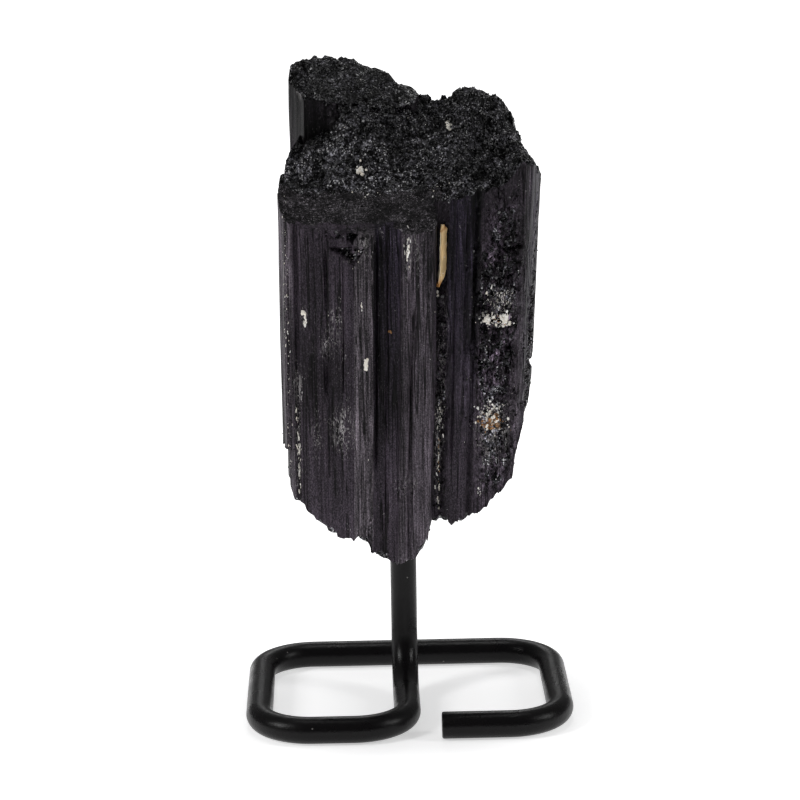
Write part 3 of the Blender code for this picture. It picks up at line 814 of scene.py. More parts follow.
def rim_points(prism, settings):
    """Points along the outline: close in front, wider behind and widest where it is hidden."""
    outline = prism.outline
    points = []
    for start, end in zip(outline, outline[1:] + outline[:1]):
        middle_x = (start[0] + end[0]) / 2
        middle_y = (start[1] + end[1]) / 2
        spacing = settings.back_spacing / MM
        if middle_y < FRONT_LIMIT_Y:
            spacing = settings.front_spacing / MM
        if is_hidden(prism, middle_x, middle_y)[0]:
            spacing = HIDDEN_SPACING
        count = max(1, round(math.dist(start, end) / spacing))
        for step in range(count):
            share = step / count
            points.append(tuple(a + (b - a) * share for a, b in zip(start, end)))
    return soften(points)


def soften(points):
    """Takes the edge off each corner by moving points a little towards their neighbours."""
    for _ in range(2):
        softer = []
        for before, point, after in ringed(points):
            if math.dist(before, point) < 1.0 and math.dist(point, after) < 1.0:
                point = tuple(0.5 * p + 0.25 * (b + a) for b, p, a in zip(before, point, after))
            softer.append(point)
        points = softer
    return points


def smoothed(heights):
    """Heights round a rim, each drawn towards its neighbours so that no single one spikes."""
    for _ in range(2):
        heights = [
            0.25 * before + 0.5 * height + 0.25 * after for before, height, after in ringed(heights)
        ]
    return heights


def outward(rim):
    """Unit vector pointing out of a closed anticlockwise rim at each of its points."""
    vectors = []
    for before, _, after in ringed(rim):
        along = Vector((after[0] - before[0], after[1] - before[1])).normalized()
        vectors.append((along.y, -along.x))
    return vectors


def cap_layout(prism, rim, spacing):
    """Plan points and triangles that fill a rim. The rim's own points come first."""
    low_x = min(x for x, _ in rim)
    high_x = max(x for x, _ in rim)
    low_y = min(y for _, y in rim)
    high_y = max(y for _, y in rim)
    row_step = spacing * math.sqrt(0.75)
    spots = []
    for row in range(int((high_y - low_y) / row_step) + 1):
        for column in range(int((high_x - low_x) / spacing) + 1):
            x = low_x + (column + 0.5 * (row % 2)) * spacing
            y = low_y + (row + 0.5) * row_step
            nudge = noise.noise_vector(Vector((x * 0.9 / spacing, y * 0.9 / spacing, 4.0)))
            keep_anyway = row % 4 == 0 and column % 4 == 0
            spots.append((x + 0.3 * spacing * nudge.x, y + 0.3 * spacing * nudge.y, keep_anyway))
    spots = np.array(spots)
    x, y, keep_anyway = spots[:, 0], spots[:, 1], spots[:, 2] > 0
    kept = inside_depth(rim, x, y) > 0.55 * spacing
    kept &= keep_anyway | ~is_hidden(prism, x, y)
    points = [Vector(point) for point in rim]
    points += [Vector((px, py)) for px, py in zip(x[kept], y[kept])]
    found = delaunay_2d_cdt(points, [], [list(range(len(rim)))], 1, 1e-5)
    return [tuple(point) for point in found[0]], found[2]


def prism_object(prism, settings):
    """One prism of the bundle as a closed object, its sides and broken ends marked apart."""
    rim = rim_points(prism, settings)
    normals = outward(rim)
    feet = [meeting_height(prism.foot, x, y, MIDDLE_Z - FIBRE_START) for x, y in rim]
    tops = smoothed([meeting_height(prism.top, x, y, MIDDLE_Z + FIBRE_START) for x, y in rim])
    ring_count = round((max(tops) - min(feet)) / (settings.ring_spacing / MM))
    builder = bmesh.new()
    uprights = []
    for (x, y), (out_x, out_y), low, high in zip(rim, normals, feet, tops):
        upright = []
        for ring in range(ring_count + 1):
            z = low + (high - low) * ring / ring_count
            push = ribs(x, y, z)
            px, py = lean(x + push * out_x, y + push * out_y, z)
            upright.append(builder.verts.new((px * MM, py * MM, z * MM)))
        uprights.append(upright)
    for left, right in zip(uprights, uprights[1:] + uprights[:1]):
        for ring in range(ring_count):
            side = (left[ring], right[ring], right[ring + 1], left[ring + 1])
            builder.faces.new(side).material_index = FACE_SLOT
    ends = (
        (prism.foot, -FIBRE_START, 0, -1, settings.foot_spacing),
        (prism.top, FIBRE_START, -1, 1, settings.cap_spacing),
    )
    for surface, start, ring, turn, spacing in ends:
        plan, triangles = cap_layout(prism, rim, spacing / MM)
        corners = [upright[ring] for upright in uprights]
        for x, y in plan[len(rim) :]:
            z = meeting_height(surface, x, y, MIDDLE_Z + start)
            px, py = lean(x, y, z)
            corners.append(builder.verts.new((px * MM, py * MM, z * MM)))
        for triangle in triangles:
            face = builder.faces.new([corners[index] for index in triangle[::turn]])
            face.material_index = BREAK_SLOT
    bmesh.ops.triangulate(builder, faces=builder.faces[:])
    bmesh.ops.recalc_face_normals(builder, faces=builder.faces[:])
    mesh = bpy.data.meshes.new(prism.name)
    builder.to_mesh(mesh)
    builder.free()
    made = bpy.data.objects.new(prism.name, mesh)
    bpy.context.scene.collection.objects.link(made)
    return made


def break_sides(mesh):
    """Breaks the sides where they are rough: finer faces first, then facets and hollows."""

    def spot_of(point):
        x, y, z = point.co / MM
        return (*upright_plan(x, y, z), z)

    builder = bmesh.new()
    builder.from_mesh(mesh)
    for _ in range(2):
        rough = set()
        for point in builder.verts:
            spot = spot_of(point)
            if max(brokenness(*spot), dent_depth(*spot)) > LEAST_ROUGHNESS:
                rough.add(point)
        long_edges = [
            edge
            for edge in builder.edges
            if edge.calc_length() > FINE_EDGE * MM
            and all(point in rough for point in edge.verts)
            and all(face.material_index == FACE_SLOT for face in edge.link_faces)
        ]
        bmesh.ops.subdivide_edges(builder, edges=long_edges, cuts=1)
        bmesh.ops.triangulate(builder, faces=[face for face in builder.faces if len(face.verts) > 3])
    builder.normal_update()
    moves = []
    for point in builder.verts:
        if any(face.material_index != FACE_SLOT for face in point.link_faces):
            continue
        spot = spot_of(point)
        out = Vector((point.normal.x, point.normal.y, 0.0))
        depth = break_depth(*spot, brokenness(*spot))
        if depth and out.length > 0.1:
            moves.append((point, -depth * MM * out.normalized()))
    for point, move in moves:
        point.co += move
    builder.to_mesh(mesh)
    builder.free()


# ---------------------------------------------------------------- materials


class Finish:
    """Short ways to add and join the nodes of one material. A value may be a socket."""

    def __init__(self, name):
        self.material = bpy.data.materials.new(name)
        self.material.use_nodes = True
        self.tree = self.material.node_tree
        self.shader = self.tree.nodes["Principled BSDF"]
        self.place = self.add("ShaderNodeTexCoord").outputs["Object"]

    def add(self, kind, **values):
        made = self.tree.nodes.new(kind)
        for key, value in values.items():
            setattr(made, key, value)
        return made

    def put(self, socket, value):
        """Sets a socket to a value, or joins another socket to it."""
        if isinstance(value, bpy.types.NodeSocket):
            self.tree.links.new(value, socket)
        else:
            socket.default_value = value

    def fill(self, node, values):
        """Puts values into a node's inputs, by name."""
        for name, value in values.items():
            self.put(node.inputs[name], value)
        return node

    def filled(self, **values):
        """The material, with its shader filled. An underscore stands for a space in a name."""
        self.fill(self.shader, {name.replace("_", " "): value for name, value in values.items()})
        return self.material

    def stretched(self, scale):
        """Object position, repeated this many times a metre: one number, or one for each axis."""
        if not isinstance(scale, tuple):
            scale = (scale, scale, scale)
        mapping = self.add("ShaderNodeMapping")
        return self.fill(mapping, {"Vector": self.place, "Scale": scale}).outputs["Vector"]

    def noise(self, scale, detail=3.0, roughness=0.5):
        made = self.add("ShaderNodeTexNoise")
        values = {"Vector": self.stretched(scale), "Scale": 1.0, "Detail": detail}
        return self.fill(made, {**values, "Roughness": roughness}).outputs["Fac"]

    def cells(self, across, along):
        """Cells of this size in metres, across and along Z."""
        made = self.add("ShaderNodeTexVoronoi")
        place = self.stretched((1 / across, 1 / across, 1 / along))
        return self.fill(made, {"Vector": place, "Scale": 1.0})

    def channel(self, cell, name):
        """One part of each cell's own random colour."""
        parts = self.add("ShaderNodeSeparateColor")
        return self.fill(parts, {"Color": cell.outputs["Color"]}).outputs[name]

    def cell_tone(self, across, along):
        """A number of its own for each cell of this size."""
        return self.channel(self.cells(across, along), "Green")

    def ramp(self, value, low, high, to_low=0.0, to_high=1.0):
        made = self.add("ShaderNodeMapRange")
        values = {"Value": value, "From Min": low, "From Max": high}
        return self.fill(made, {**values, "To Min": to_low, "To Max": to_high}).outputs["Result"]

    def math(self, operation, *values):
        made = self.add("ShaderNodeMath", operation=operation)
        for socket, value in zip(made.inputs, values):
            self.put(socket, value)
        return made.outputs["Value"]

    def times(self, first, second):
        return self.math("MULTIPLY", first, second)

    def power(self, value, exponent):
        """The doubled value raised to a power, so that one half stays 1."""
        return self.math("POWER", self.times(value, 2.0), exponent)

    def total(self, *pairs, middle=0.5):
        """Sum of (value, weight) pairs, each value taken about one half, plus a middle."""
        result = middle
        for value, weight in pairs:
            centred = self.math("SUBTRACT", value, 0.5)
            result = self.math("MULTIPLY_ADD", centred, weight, result)
        return result

    def seam(self, scale, width):
        """1 along winding lines, where a slow noise passes its middle value, and 0 elsewhere."""
        away = self.math("ABSOLUTE", self.math("SUBTRACT", self.noise(scale, 1.0), 0.5))
        return self.ramp(away, width, width * 0.35)

    def specks(self, spacing, size, share, clumping):
        """1 on small specks and 0 elsewhere. They gather where a slow noise is high."""
        cell = self.cells(*spacing)
        dot = self.math("LESS_THAN", cell.outputs["Distance"], size)
        slow = self.noise((clumping, clumping, clumping * 0.4), 2.0)
        chance = self.ramp(slow, 0.42, 0.75, 0.0, share)
        return self.times(dot, self.math("LESS_THAN", self.channel(cell, "Red"), chance))

    def vector(self, operation, first, second=None):
        made = self.add("ShaderNodeVectorMath", operation=operation)
        self.put(made.inputs[0], first)
        if second is not None:
            self.put(made.inputs["Scale" if operation == "SCALE" else 1], second)
        return made.outputs["Vector"]

    def mix(self, share, first, second):
        """Mixes two colours."""
        made = self.add("ShaderNodeMix", data_type="RGBA")
        sockets = [socket for socket in made.inputs if socket.enabled]
        for socket, value in zip(sockets, (share, first, second)):
            self.put(socket, value)
        return next(socket for socket in made.outputs if socket.enabled)

    def overlaid(self, base, mask, strength, colour):
        """The base, with up to this strength of a colour over it where the mask is 1."""
        return self.mix(self.times(mask, strength), base, rgb(colour))

    def painted(self, name):
        """A number painted on the mesh's points."""
        return self.add("ShaderNodeAttribute", attribute_name=name).outputs["Fac"]

    def bump(self, height, distance, strength=1.0, normal=None):
        values = {"Height": height, "Distance": distance, "Strength": strength}
        if normal is not None:
            values["Normal"] = normal
        return self.fill(self.add("ShaderNodeBump"), values).outputs["Normal"]

    def tilted_cells(self, size, amount, normal=None):
        """Surface normal tilted at random in each cell, so that each cell is a flat facet."""
        centred = self.vector("SUBTRACT", self.cells(size, size).outputs["Color"], HALF)
        if normal is None:
            normal = self.add("ShaderNodeNewGeometry").outputs["Normal"]
        return self.vector("NORMALIZE", self.vector("ADD", normal, self.vector("SCALE", centred, amount)))


def rgb(value, factor=1.0):
    return (value[0] * factor, value[1] * factor, value[2] * factor, 1.0)


def face_finish(settings):
    """Ribbed prism faces: satin violet black, with fine lines, splits, breaks and pale dust, and painted
    light and shade.
    """
    finish = Finish("ribbed_face")
    streak = finish.noise((800.0, 800.0, 18.0), 4.0, 0.65)
    fine = finish.noise((2300.0, 2300.0, 90.0), 3.0, 0.65)
    grit = finish.noise((4200.0, 4200.0, 2600.0), 2.0, 0.7)
    cloud = finish.noise((110.0, 110.0, 30.0))
    lump = finish.noise((900.0, 900.0, 600.0), 4.0, 0.65)
    patch = finish.noise((330.0, 330.0, 200.0), 2.0, 0.6)
    dash = finish.noise((3600.0, 3600.0, 1500.0), 3.0, 0.7)
    gate = finish.noise((420.0, 420.0, 130.0), 2.0)
    names = ("broken", "dusty", "light", "blue", "pale")
    broken, dusty, light, blue, pale = (finish.painted(name) for name in names)
    # Blue ribs take a darker colour, partly painted shade, and pale ribs a lighter one, partly painted
    # light.
    base = finish.mix(blue, rgb(settings.face_colour), rgb(settings.blue_and_shaded_colour))
    base = finish.mix(pale, base, rgb(settings.pale_and_lit_rib_colour))
    # Tone: lines along the ribs, livelier on pale and blue ones, or patches where it is broken.
    lively = finish.math("MULTIPLY_ADD", blue, 0.8, finish.ramp(pale, 0.0, 0.6, 0.42, 0.95))
    ribbed = finish.times(finish.total((streak, 0.7), (fine, 1.0), middle=0.0), lively)
    cell = finish.cell_tone(0.0005, 0.0008)
    cracked = finish.total((cell, 0.5), (lump, 0.9), (patch, 1.4), middle=0.0)
    change = finish.math("SUBTRACT", cracked, ribbed)
    tone = finish.math("MULTIPLY_ADD", change, broken, ribbed)
    tone = finish.total((grit, 0.8), (cloud, 0.6), middle=finish.math("ADD", tone, 0.5))
    # The painted light of the points scales the colour: painted light low down, painted shade over the
    # top and in shaded places.
    base = finish.vector("SCALE", base, finish.times(finish.power(tone, 3.2), light))
    # Dark hairlines and nicks.
    hairline = finish.seam((760.0, 760.0, 6.0), 0.034)
    hairline = finish.times(hairline, finish.ramp(gate, 0.42, 0.48))
    base = finish.overlaid(base, hairline, 0.9, CRACK_COLOUR)
    nick = finish.specks((0.0004, 0.0016), 0.3, 0.22, 300.0)
    base = finish.overlaid(base, nick, 0.85, CRACK_COLOUR)
    # Pale dust in dashes, and scratches made of shards, a web and threads.
    drift = finish.total((dash, 1.2), (gate, 0.7))
    dusted = finish.ramp(finish.math("MULTIPLY_ADD", dusty, 0.22, drift), 0.80, 0.88, 0.0, 0.9)
    base = finish.mix(dusted, base, rgb(FACE_DUST_COLOUR))
    shard = finish.specks((0.0003, 0.0007), 0.36, 0.5, 600.0)
    shard = finish.times(shard, finish.ramp(dusty, 0.1, 0.6, 0.1, 0.8))
    web = finish.times(finish.seam((1500.0, 1500.0, 520.0), 0.045), finish.ramp(dash, 0.42, 0.55))
    web = finish.times(web, finish.ramp(dusty, 0.25, 0.9, 0.0, 0.9))
    thread = finish.times(finish.seam((900.0, 900.0, 90.0), 0.03), finish.ramp(gate, 0.46, 0.56))
    thread = finish.times(thread, finish.ramp(dusty, 0.35, 0.9))
    shard = finish.times(finish.math("MAXIMUM", shard, web), 0.7)
    scratch = finish.math("MAXIMUM", shard, finish.times(thread, 0.6))
    base = finish.mix(scratch, base, rgb(SCRATCH_COLOUR))
    rough = finish.math("MULTIPLY_ADD", broken, -0.2, finish.ramp(streak, 0.3, 0.7, 0.56, 0.4))
    normal = finish.tilted_cells(0.0005, finish.times(broken, 0.8))
    normal = finish.bump(streak, 0.0002, 0.6, normal)
    normal = finish.bump(fine, 0.0001, 0.6, normal)
    normal = finish.bump(grit, 0.0001, 0.8, normal)
    normal = finish.bump(hairline, -0.0002, 0.8, normal)
    return finish.filled(
        Base_Color=base, Roughness=rough, Normal=normal, IOR=1.5, Specular_IOR_Level=0.12
    )


def break_finish(settings):
    """Broken ends: glassy black facets, frosted and dusty in patches, with painted glints and painted
    light and shade.
    """
    finish = Finish("glassy_break")
    tone = finish.noise(2400.0, 3.0, 0.65)
    lump = finish.noise(700.0, 3.0, 0.6)
    patch = finish.noise(260.0, 2.0, 0.6)
    dusty = finish.painted("dusty")
    light = finish.painted("light")
    cell = finish.cell_tone(0.00045, 0.00045)
    area = finish.total((lump, 1.2), (patch, 1.2))
    area = finish.math("MULTIPLY_ADD", dusty, 0.22, area)
    shade = finish.total((tone, 1.6), (lump, 1.0), (patch, 1.2), (cell, 0.5))
    shade = finish.power(finish.math("MULTIPLY_ADD", dusty, 0.17, shade), 5.0)
    base = finish.vector("SCALE", tuple(settings.break_colour), shade)
    # Painted glints: bright specks where the noise is high, and chips of pale dust where it is dusty, in
    # one colour.
    painted_glint = finish.specks((0.0007, 0.0007), 0.3, 0.9, 260.0)
    painted_glint = finish.math("MAXIMUM", painted_glint, finish.specks((0.0004, 0.0004), 0.34, 0.65, 420.0))
    painted_glint = finish.times(painted_glint, finish.ramp(area, 0.4, 0.62))
    chip = finish.specks((0.001, 0.001), 0.3, 0.6, 320.0)
    chip = finish.times(chip, finish.ramp(dusty, 0.2, 0.7))
    base = finish.overlaid(base, finish.math("MAXIMUM", painted_glint, chip), 0.85, GLINT_AND_CHIP_COLOUR)
    # The painted light of the points scales the colour: painted shade over the top and in shaded places.
    base = finish.vector("SCALE", base, light)
    normal = finish.tilted_cells(0.0008, finish.ramp(area, 0.4, 0.6, 0.4, 0.7))
    normal = finish.tilted_cells(0.0003, finish.ramp(area, 0.44, 0.62, 0.4, 1.2), normal)
    rough = finish.ramp(tone, 0.35, 0.65, 0.14, 0.38)
    return finish.filled(
        Base_Color=base, Roughness=rough, Normal=normal, IOR=1.5, Specular_IOR_Level=0.14
    )


def ledge_finish():
    """The smoother ledge in front: dull black, finely pitted and dusty."""
    finish = Finish("dull_ledge")
    tone = finish.noise(300.0, 4.0, 0.65)
    grit = finish.noise(4200.0, 2.0, 0.7)
    fine = finish.noise(1600.0, 3.0, 0.65)
    shade = finish.power(finish.total((tone, 1.1), (fine, 1.2), (grit, 2.0)), 4.6)
    base = finish.vector("SCALE", LEDGE_COLOUR, shade)
    dust = finish.specks((0.0006, 0.0006), 0.26, 0.5, 200.0)
    base = finish.overlaid(base, dust, 0.5, DUST_COLOUR)
    normal = finish.tilted_cells(0.0004, 0.5)
    normal = finish.bump(fine, 0.0002, 0.8, normal)
    normal = finish.bump(grit, 0.00016, 1.0, normal)
    rough = finish.ramp(tone, 0.3, 0.7, 0.42, 0.6)
    return finish.filled(
        Base_Color=base, Roughness=rough, Normal=normal, IOR=1.5, Specular_IOR_Level=0.1
    )


def grain_finish(settings):
    """Loose broken grains, most of them glassy black and a few of them pale."""
    finish = Finish("loose_grain")
    tone = finish.painted("tone")
    black = rgb(settings.break_colour, 0.3)
    base = finish.mix(finish.ramp(tone, 0.8, 1.0), black, rgb(PALE_GRAIN_COLOUR))
    rough = finish.ramp(tone, 0.0, 1.0, 0.14, 0.36)
    return finish.filled(Base_Color=base, Roughness=rough, IOR=1.5, Specular_IOR_Level=0.4)


def crust_finish(name, light, dark):
    """Mineral crust: each fleck has a tone of its own between two colours, finely pitted."""
    finish = Finish(name)
    pits = finish.noise(4200.0)
    base = finish.mix(finish.painted("tone"), rgb(dark), rgb(light))
    base = finish.mix(finish.ramp(pits, 0.5, 0.75, 0.0, 0.4), base, rgb(dark, 0.5))
    return finish.filled(Base_Color=base, Roughness=0.55, Normal=finish.bump(pits, 0.0001, 0.7))


def flake_finish(settings):
    """Tan flake: smooth and cleaved, with fine lines along it and a redder lower end."""
    finish = Finish("tan_flake")
    lines = finish.noise((2500.0, 2500.0, 160.0))
    cloud = finish.noise((700.0, 700.0, 220.0))
    light, dark, line = (rgb(settings.flake_colour, factor) for factor in (1.1, 0.7, 0.45))
    base = finish.mix(finish.ramp(cloud, 0.35, 0.65), dark, light)
    speck = finish.times(finish.specks((0.0004, 0.0005), 0.3, 0.6, 500.0), 0.6)
    base = finish.mix(speck, base, rgb(settings.pale_colour, 0.9))
    base = finish.mix(finish.ramp(lines, 0.55, 0.8, 0.0, 0.5), base, line)
    margin = finish.ramp(finish.math("ADD", finish.painted("creamy"), cloud), 0.95, 1.2, 0.0, 0.9)
    base = finish.mix(margin, base, rgb(CREAM_COLOUR))
    base = finish.mix(finish.painted("red_end"), base, rgb(settings.ochre_colour, 1.1))
    return finish.filled(Base_Color=base, Roughness=0.45, Normal=finish.bump(lines, 0.00006, 0.6))


def coat_finish(settings):
    """Satin powder coat: very fine orange peel, soft waves and a few specks of dust."""
    finish = Finish("powder_coat")
    peel = finish.noise(2600.0, 2.0)
    wave = finish.noise(160.0, 2.0)
    dust = finish.specks((0.0022, 0.0022), 0.08, 0.6, 60.0)
    base = finish.overlaid(rgb(settings.coat_colour), dust, 0.5, ROD_DUST_COLOUR)
    normal = finish.bump(wave, 0.0003, 0.2, finish.bump(peel, 0.00006, 0.9))
    rough = finish.ramp(wave, 0.3, 0.7, 0.24, 0.36)
    return finish.filled(Base_Color=base, Roughness=rough, Normal=normal, Specular_IOR_Level=0.16)


def cut_end_finish():
    """The rod's sawn end, where the coat is thin and bare steel shows in specks."""
    finish = Finish("sawn_end")
    marks = finish.noise((3000.0, 900.0, 3000.0))
    base = finish.mix(finish.ramp(marks, 0.45, 0.7), rgb(SAWN_COLOUR), rgb(STEEL_COLOUR))
    return finish.filled(Base_Color=base, Roughness=0.5, Normal=finish.bump(marks, 0.0001, 0.7))


def floor_finish():
    """White paper that glows: less near the object, a painted shadow round it, and more away from it, so
    that the floor runs out into white.
    """
    finish = Finish("white_paper")
    parts = finish.fill(finish.add("ShaderNodeSeparateXYZ"), {"Vector": finish.place})
    squares = [finish.times(parts.outputs[axis], parts.outputs[axis]) for axis in "XY"]
    away = finish.math("SQRT", finish.math("ADD", *squares))
    near, far = finish.ramp(away, 0.03, 0.056, 0.5, 0.82), finish.ramp(away, 0.06, 0.4, 0.0, 0.3)
    return finish.filled(
        Base_Color=rgb(PAPER_COLOUR), Roughness=0.8, Specular_IOR_Level=0.1,
        Emission_Color=(1.0, 1.0, 1.0, 1.0), Emission_Strength=finish.math("ADD", near, far),
    )


def card_finish():
    finish = Finish("dark_card")
    return finish.filled(Base_Color=rgb(CARD_COLOUR), Roughness=0.9, Specular_IOR_Level=0.0)


# ---------------------------------------------------------------- small shared steps


def deselect_all():
    if bpy.context.mode != "OBJECT":
        bpy.ops.object.mode_set(mode="OBJECT")
    bpy.ops.object.select_all(action="DESELECT")


def make_active(target):
    deselect_all()
    target.select_set(True)
    bpy.context.view_layer.objects.active = target


def apply_boolean(target, helper, operation):
    """Joins the helper to the target or cuts it out, and removes the helper."""
    make_active(target)
    modifier = target.modifiers.new("join", "BOOLEAN")
    modifier.operation = operation
    modifier.solver = "EXACT"
    modifier.object = helper
    bpy.ops.object.modifier_apply(modifier=modifier.name)
    mesh = helper.data
    bpy.data.objects.remove(helper)
    bpy.data.meshes.remove(mesh)


def settle(piece, node=None):
    """Puts a finished piece on its body, in place of the node that it stands for."""
    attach(piece, BODY)
    if node:
        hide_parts(node)


def paint(mesh, name, values):
    """Keeps one number for each point of a mesh, for its material to read."""
    layer = mesh.attributes.new(name, "FLOAT", "POINT")
    layer.data.foreach_set("value", np.asarray(values, np.float32))


def points_of(mesh):
    """The points of a mesh as rows of an array, in metres."""
    flat = np.empty(len(mesh.vertices) * 3)
    mesh.vertices.foreach_get("co", flat)
    return flat.reshape(-1, 3)


def surface_of(piece):
    """A search tree over a finished piece, in metres."""
    mesh = piece.data
    points = [vertex.co.copy() for vertex in mesh.vertices]
    return BVHTree.FromPolygons(points, [tuple(face.vertices) for face in mesh.polygons])


def land_from_front(surface, x, z):
    """Where a straight push backwards at (x, z) meets the surface, or None."""
    return surface.ray_cast(Vector((x, -60.0, z)) * MM, Vector((0.0, 1.0, 0.0)))[0]


def land_from_above(surface, x, y):
    return surface.ray_cast(Vector((x, y, 170.0)) * MM, Vector((0.0, 0.0, -1.0)))[0]


def random_turn(picker, low, high):
    return Euler([picker.uniform(low, high) for _ in range(3)])


def chipped_grain():
    """One grain, a block of unit size with its corners struck off. It is copied many times."""
    deselect_all()
    bpy.ops.mesh.primitive_cube_add(size=1.0)
    grain = bpy.context.object
    bpy.ops.object.mode_set(mode="EDIT")
    for normal, offset in GRAIN_CUTS:
        bpy.ops.mesh.select_all(action="SELECT")
        bpy.ops.mesh.bisect(
            plane_co=Vector(normal).normalized() * offset,
            plane_no=normal,
            use_fill=True,
            clear_outer=True,
        )
    bpy.ops.mesh.select_all(action="SELECT")
    bpy.ops.mesh.quads_convert_to_tris()
    bpy.ops.mesh.normals_make_consistent(inside=False)
    bpy.ops.object.mode_set(mode="OBJECT")
    points = points_of(grain.data)
    faces = np.array([tuple(face.vertices) for face in grain.data.polygons])
    mesh = grain.data
    bpy.data.objects.remove(grain)
    bpy.data.meshes.remove(mesh)
    return points, faces


def scatter(name, placings, finish):
    """One object holding a copy of the chipped grain for each (matrix, tone)."""
    points, faces = chipped_grain()
    padded = np.column_stack((points, np.ones(len(points))))
    all_points = [padded @ np.array(matrix).T[:, :3] for matrix, _ in placings]
    all_faces = [faces + index * len(points) for index in range(len(placings))]
    mesh = bpy.data.meshes.new(name)
    mesh.from_pydata(np.concatenate(all_points), [], np.concatenate(all_faces).tolist())
    paint(mesh, "tone", np.repeat([tone for _, tone in placings], len(points)))
    mesh.materials.append(finish)
    piece = bpy.data.objects.new(name, mesh)
    bpy.context.scene.collection.objects.link(piece)
    return piece


def turned_placing(spot, turn, stretch):
    return Matrix.Translation(spot) @ turn.to_matrix().to_4x4() @ Matrix.Diagonal((*stretch, 1.0))


# ---------------------------------------------------------------- operators


def drill_hole(body, diameter, finishes):
    """Cuts the blind hole for the rod into the crystal's underside."""
    low, high = HOLE_START_Z, ROD_TOP_Z + HOLE_CLEARANCE
    deselect_all()
    bpy.ops.mesh.primitive_cylinder_add(
        vertices=48,
        radius=diameter / 2 + HOLE_CLEARANCE * MM,
        depth=(high - low) * MM,
        location=Vector((UPRIGHT_X, UPRIGHT_Y, (high + low) / 2)) * MM,
    )
    drill = bpy.context.object
    for finish in finishes:
        drill.data.materials.append(finish)
    for face in drill.data.polygons:
        face.material_index = BREAK_SLOT
    apply_boolean(body, drill, "DIFFERENCE")


def mark_faces(mesh):
    """Gives the ledge, its glossy front rim and the broken strips of the sides their finishes."""
    for face in mesh.polygons:
        x, y, z = face.center / MM
        if face.material_index == BREAK_SLOT:
            if dullness(x, y, z) > 0.5:
                rim_y = LEDGE_RIM_Y - 0.1 + 0.9 * noise.noise(Vector((x * 0.4, y, 2.0)))
                on_rim = y < rim_y and -23.0 < x < -2.0
                face.material_index = FACE_SLOT if on_rim else LEDGE_SLOT
        elif brokenness(*upright_plan(x, y, z), z) > 0.6:
            face.use_smooth = False
            if noise.noise(Vector((x, y, 0.5 * z))) > 0.08:
                face.material_index = BREAK_SLOT


def paint_crystal(mesh):
    """Paints what the finishes read: how broken and dusty each point is, its painted light and shade, and
    how blue and pale its rib is.
    """
    painted = []
    for x, y, z in points_of(mesh) / MM:
        spot = (*upright_plan(x, y, z), z)
        dusty = min(1.0, bell_sum(DUST_PATCHES, *spot))
        # Painted light and shade: lighter low down, darker over the top, darker in the shade patches and
        # lighter where their strength is below 0.
        shade_and_light = min(1.0, bell_sum(SHADE_AND_LIGHT_PATCHES, *spot))
        light = between(LIGHT_AND_SHADE_BY_HEIGHT, z) * (1.0 - 0.9 * shade_and_light)
        blue, pale = rib_tone(*spot[:2])
        painted.append((brokenness(*spot), dusty, light, blue * between(BLUE_FADE, z), pale))
    for name, values in zip(("broken", "dusty", "light", "blue", "pale"), zip(*painted)):
        paint(mesh, name, values)


class TOURMALINE_OT_body(bpy.types.Operator):
    """Build the crystal: four prisms grown together, with ribs, breaks and the rod's hole"""

    bl_idname = "tourmaline.body"
    bl_label = "Crystal Body"

    def execute(self, context):
        settings = context.scene.tourmaline_crystal
        body, *others = [prism_object(prism, settings) for prism in PRISMS]
        body.name = "crystal_body"
        finishes = (face_finish(settings), break_finish(settings), ledge_finish())
        for part in (body, *others):
            for finish in finishes:
                part.data.materials.append(finish)
        for part in others:
            apply_boolean(body, part, "UNION")
        drill_hole(body, context.scene.tourmaline_rod.diameter, finishes)
        break_sides(body.data)
        make_active(body)
        bpy.ops.object.shade_smooth_by_angle(angle=math.radians(CRYSTAL_SMOOTH_ANGLE))
        mark_faces(body.data)
        paint_crystal(body.data)
        settle(body, CRYSTAL_NODE)
        return {"FINISHED"}


class TOURMALINE_OT_grains(bpy.types.Operator):
    """Scatter small faceted grains over the broken surfaces, sunk in to half their height"""

    bl_idname = "tourmaline.grains"
    bl_label = "Broken Grains"

    def execute(self, context):
        settings = context.scene.tourmaline_grains
        mesh = bpy.data.objects["crystal_body"].data
        picker = random.Random(11)
        faces = []
        weights = []
        for face in mesh.polygons:
            x, y, z = face.center / MM
            plan_x, plan_y = upright_plan(x, y, z)
            weight = 0.5 * brokenness(plan_x, plan_y, z)
            if face.material_index != FACE_SLOT:
                weight = 0.3 if z < MIDDLE_Z else 1.0 - 0.93 * dullness(x, y, z)
                weight *= max(0.05, 0.5 + 1.6 * noise.noise(Vector((x, y, z)) * 0.28))
            if weight > 0.05:
                faces.append(face.index)
                weights.append(weight * face.area)
        placings = []
        for index in picker.choices(faces, weights, k=settings.count):
            corners = [mesh.vertices[i].co for i in mesh.polygons[index].vertices]
            first, second = sorted((picker.random(), picker.random()))
            spot = corners[0] * first + corners[1] * (second - first) + corners[2] * (1 - second)
            size = settings.smallest + (settings.largest - settings.smallest) * picker.random() ** 3
            turn = random_turn(picker, 0, math.tau)
            stretch = [size * picker.uniform(0.6, 1.3) for _ in range(3)]
            placings.append((turned_placing(spot, turn, stretch), picker.random()))
        finish = grain_finish(context.scene.tourmaline_crystal)
        settle(scatter("broken_grains", placings, finish))
        return {"FINISHED"}


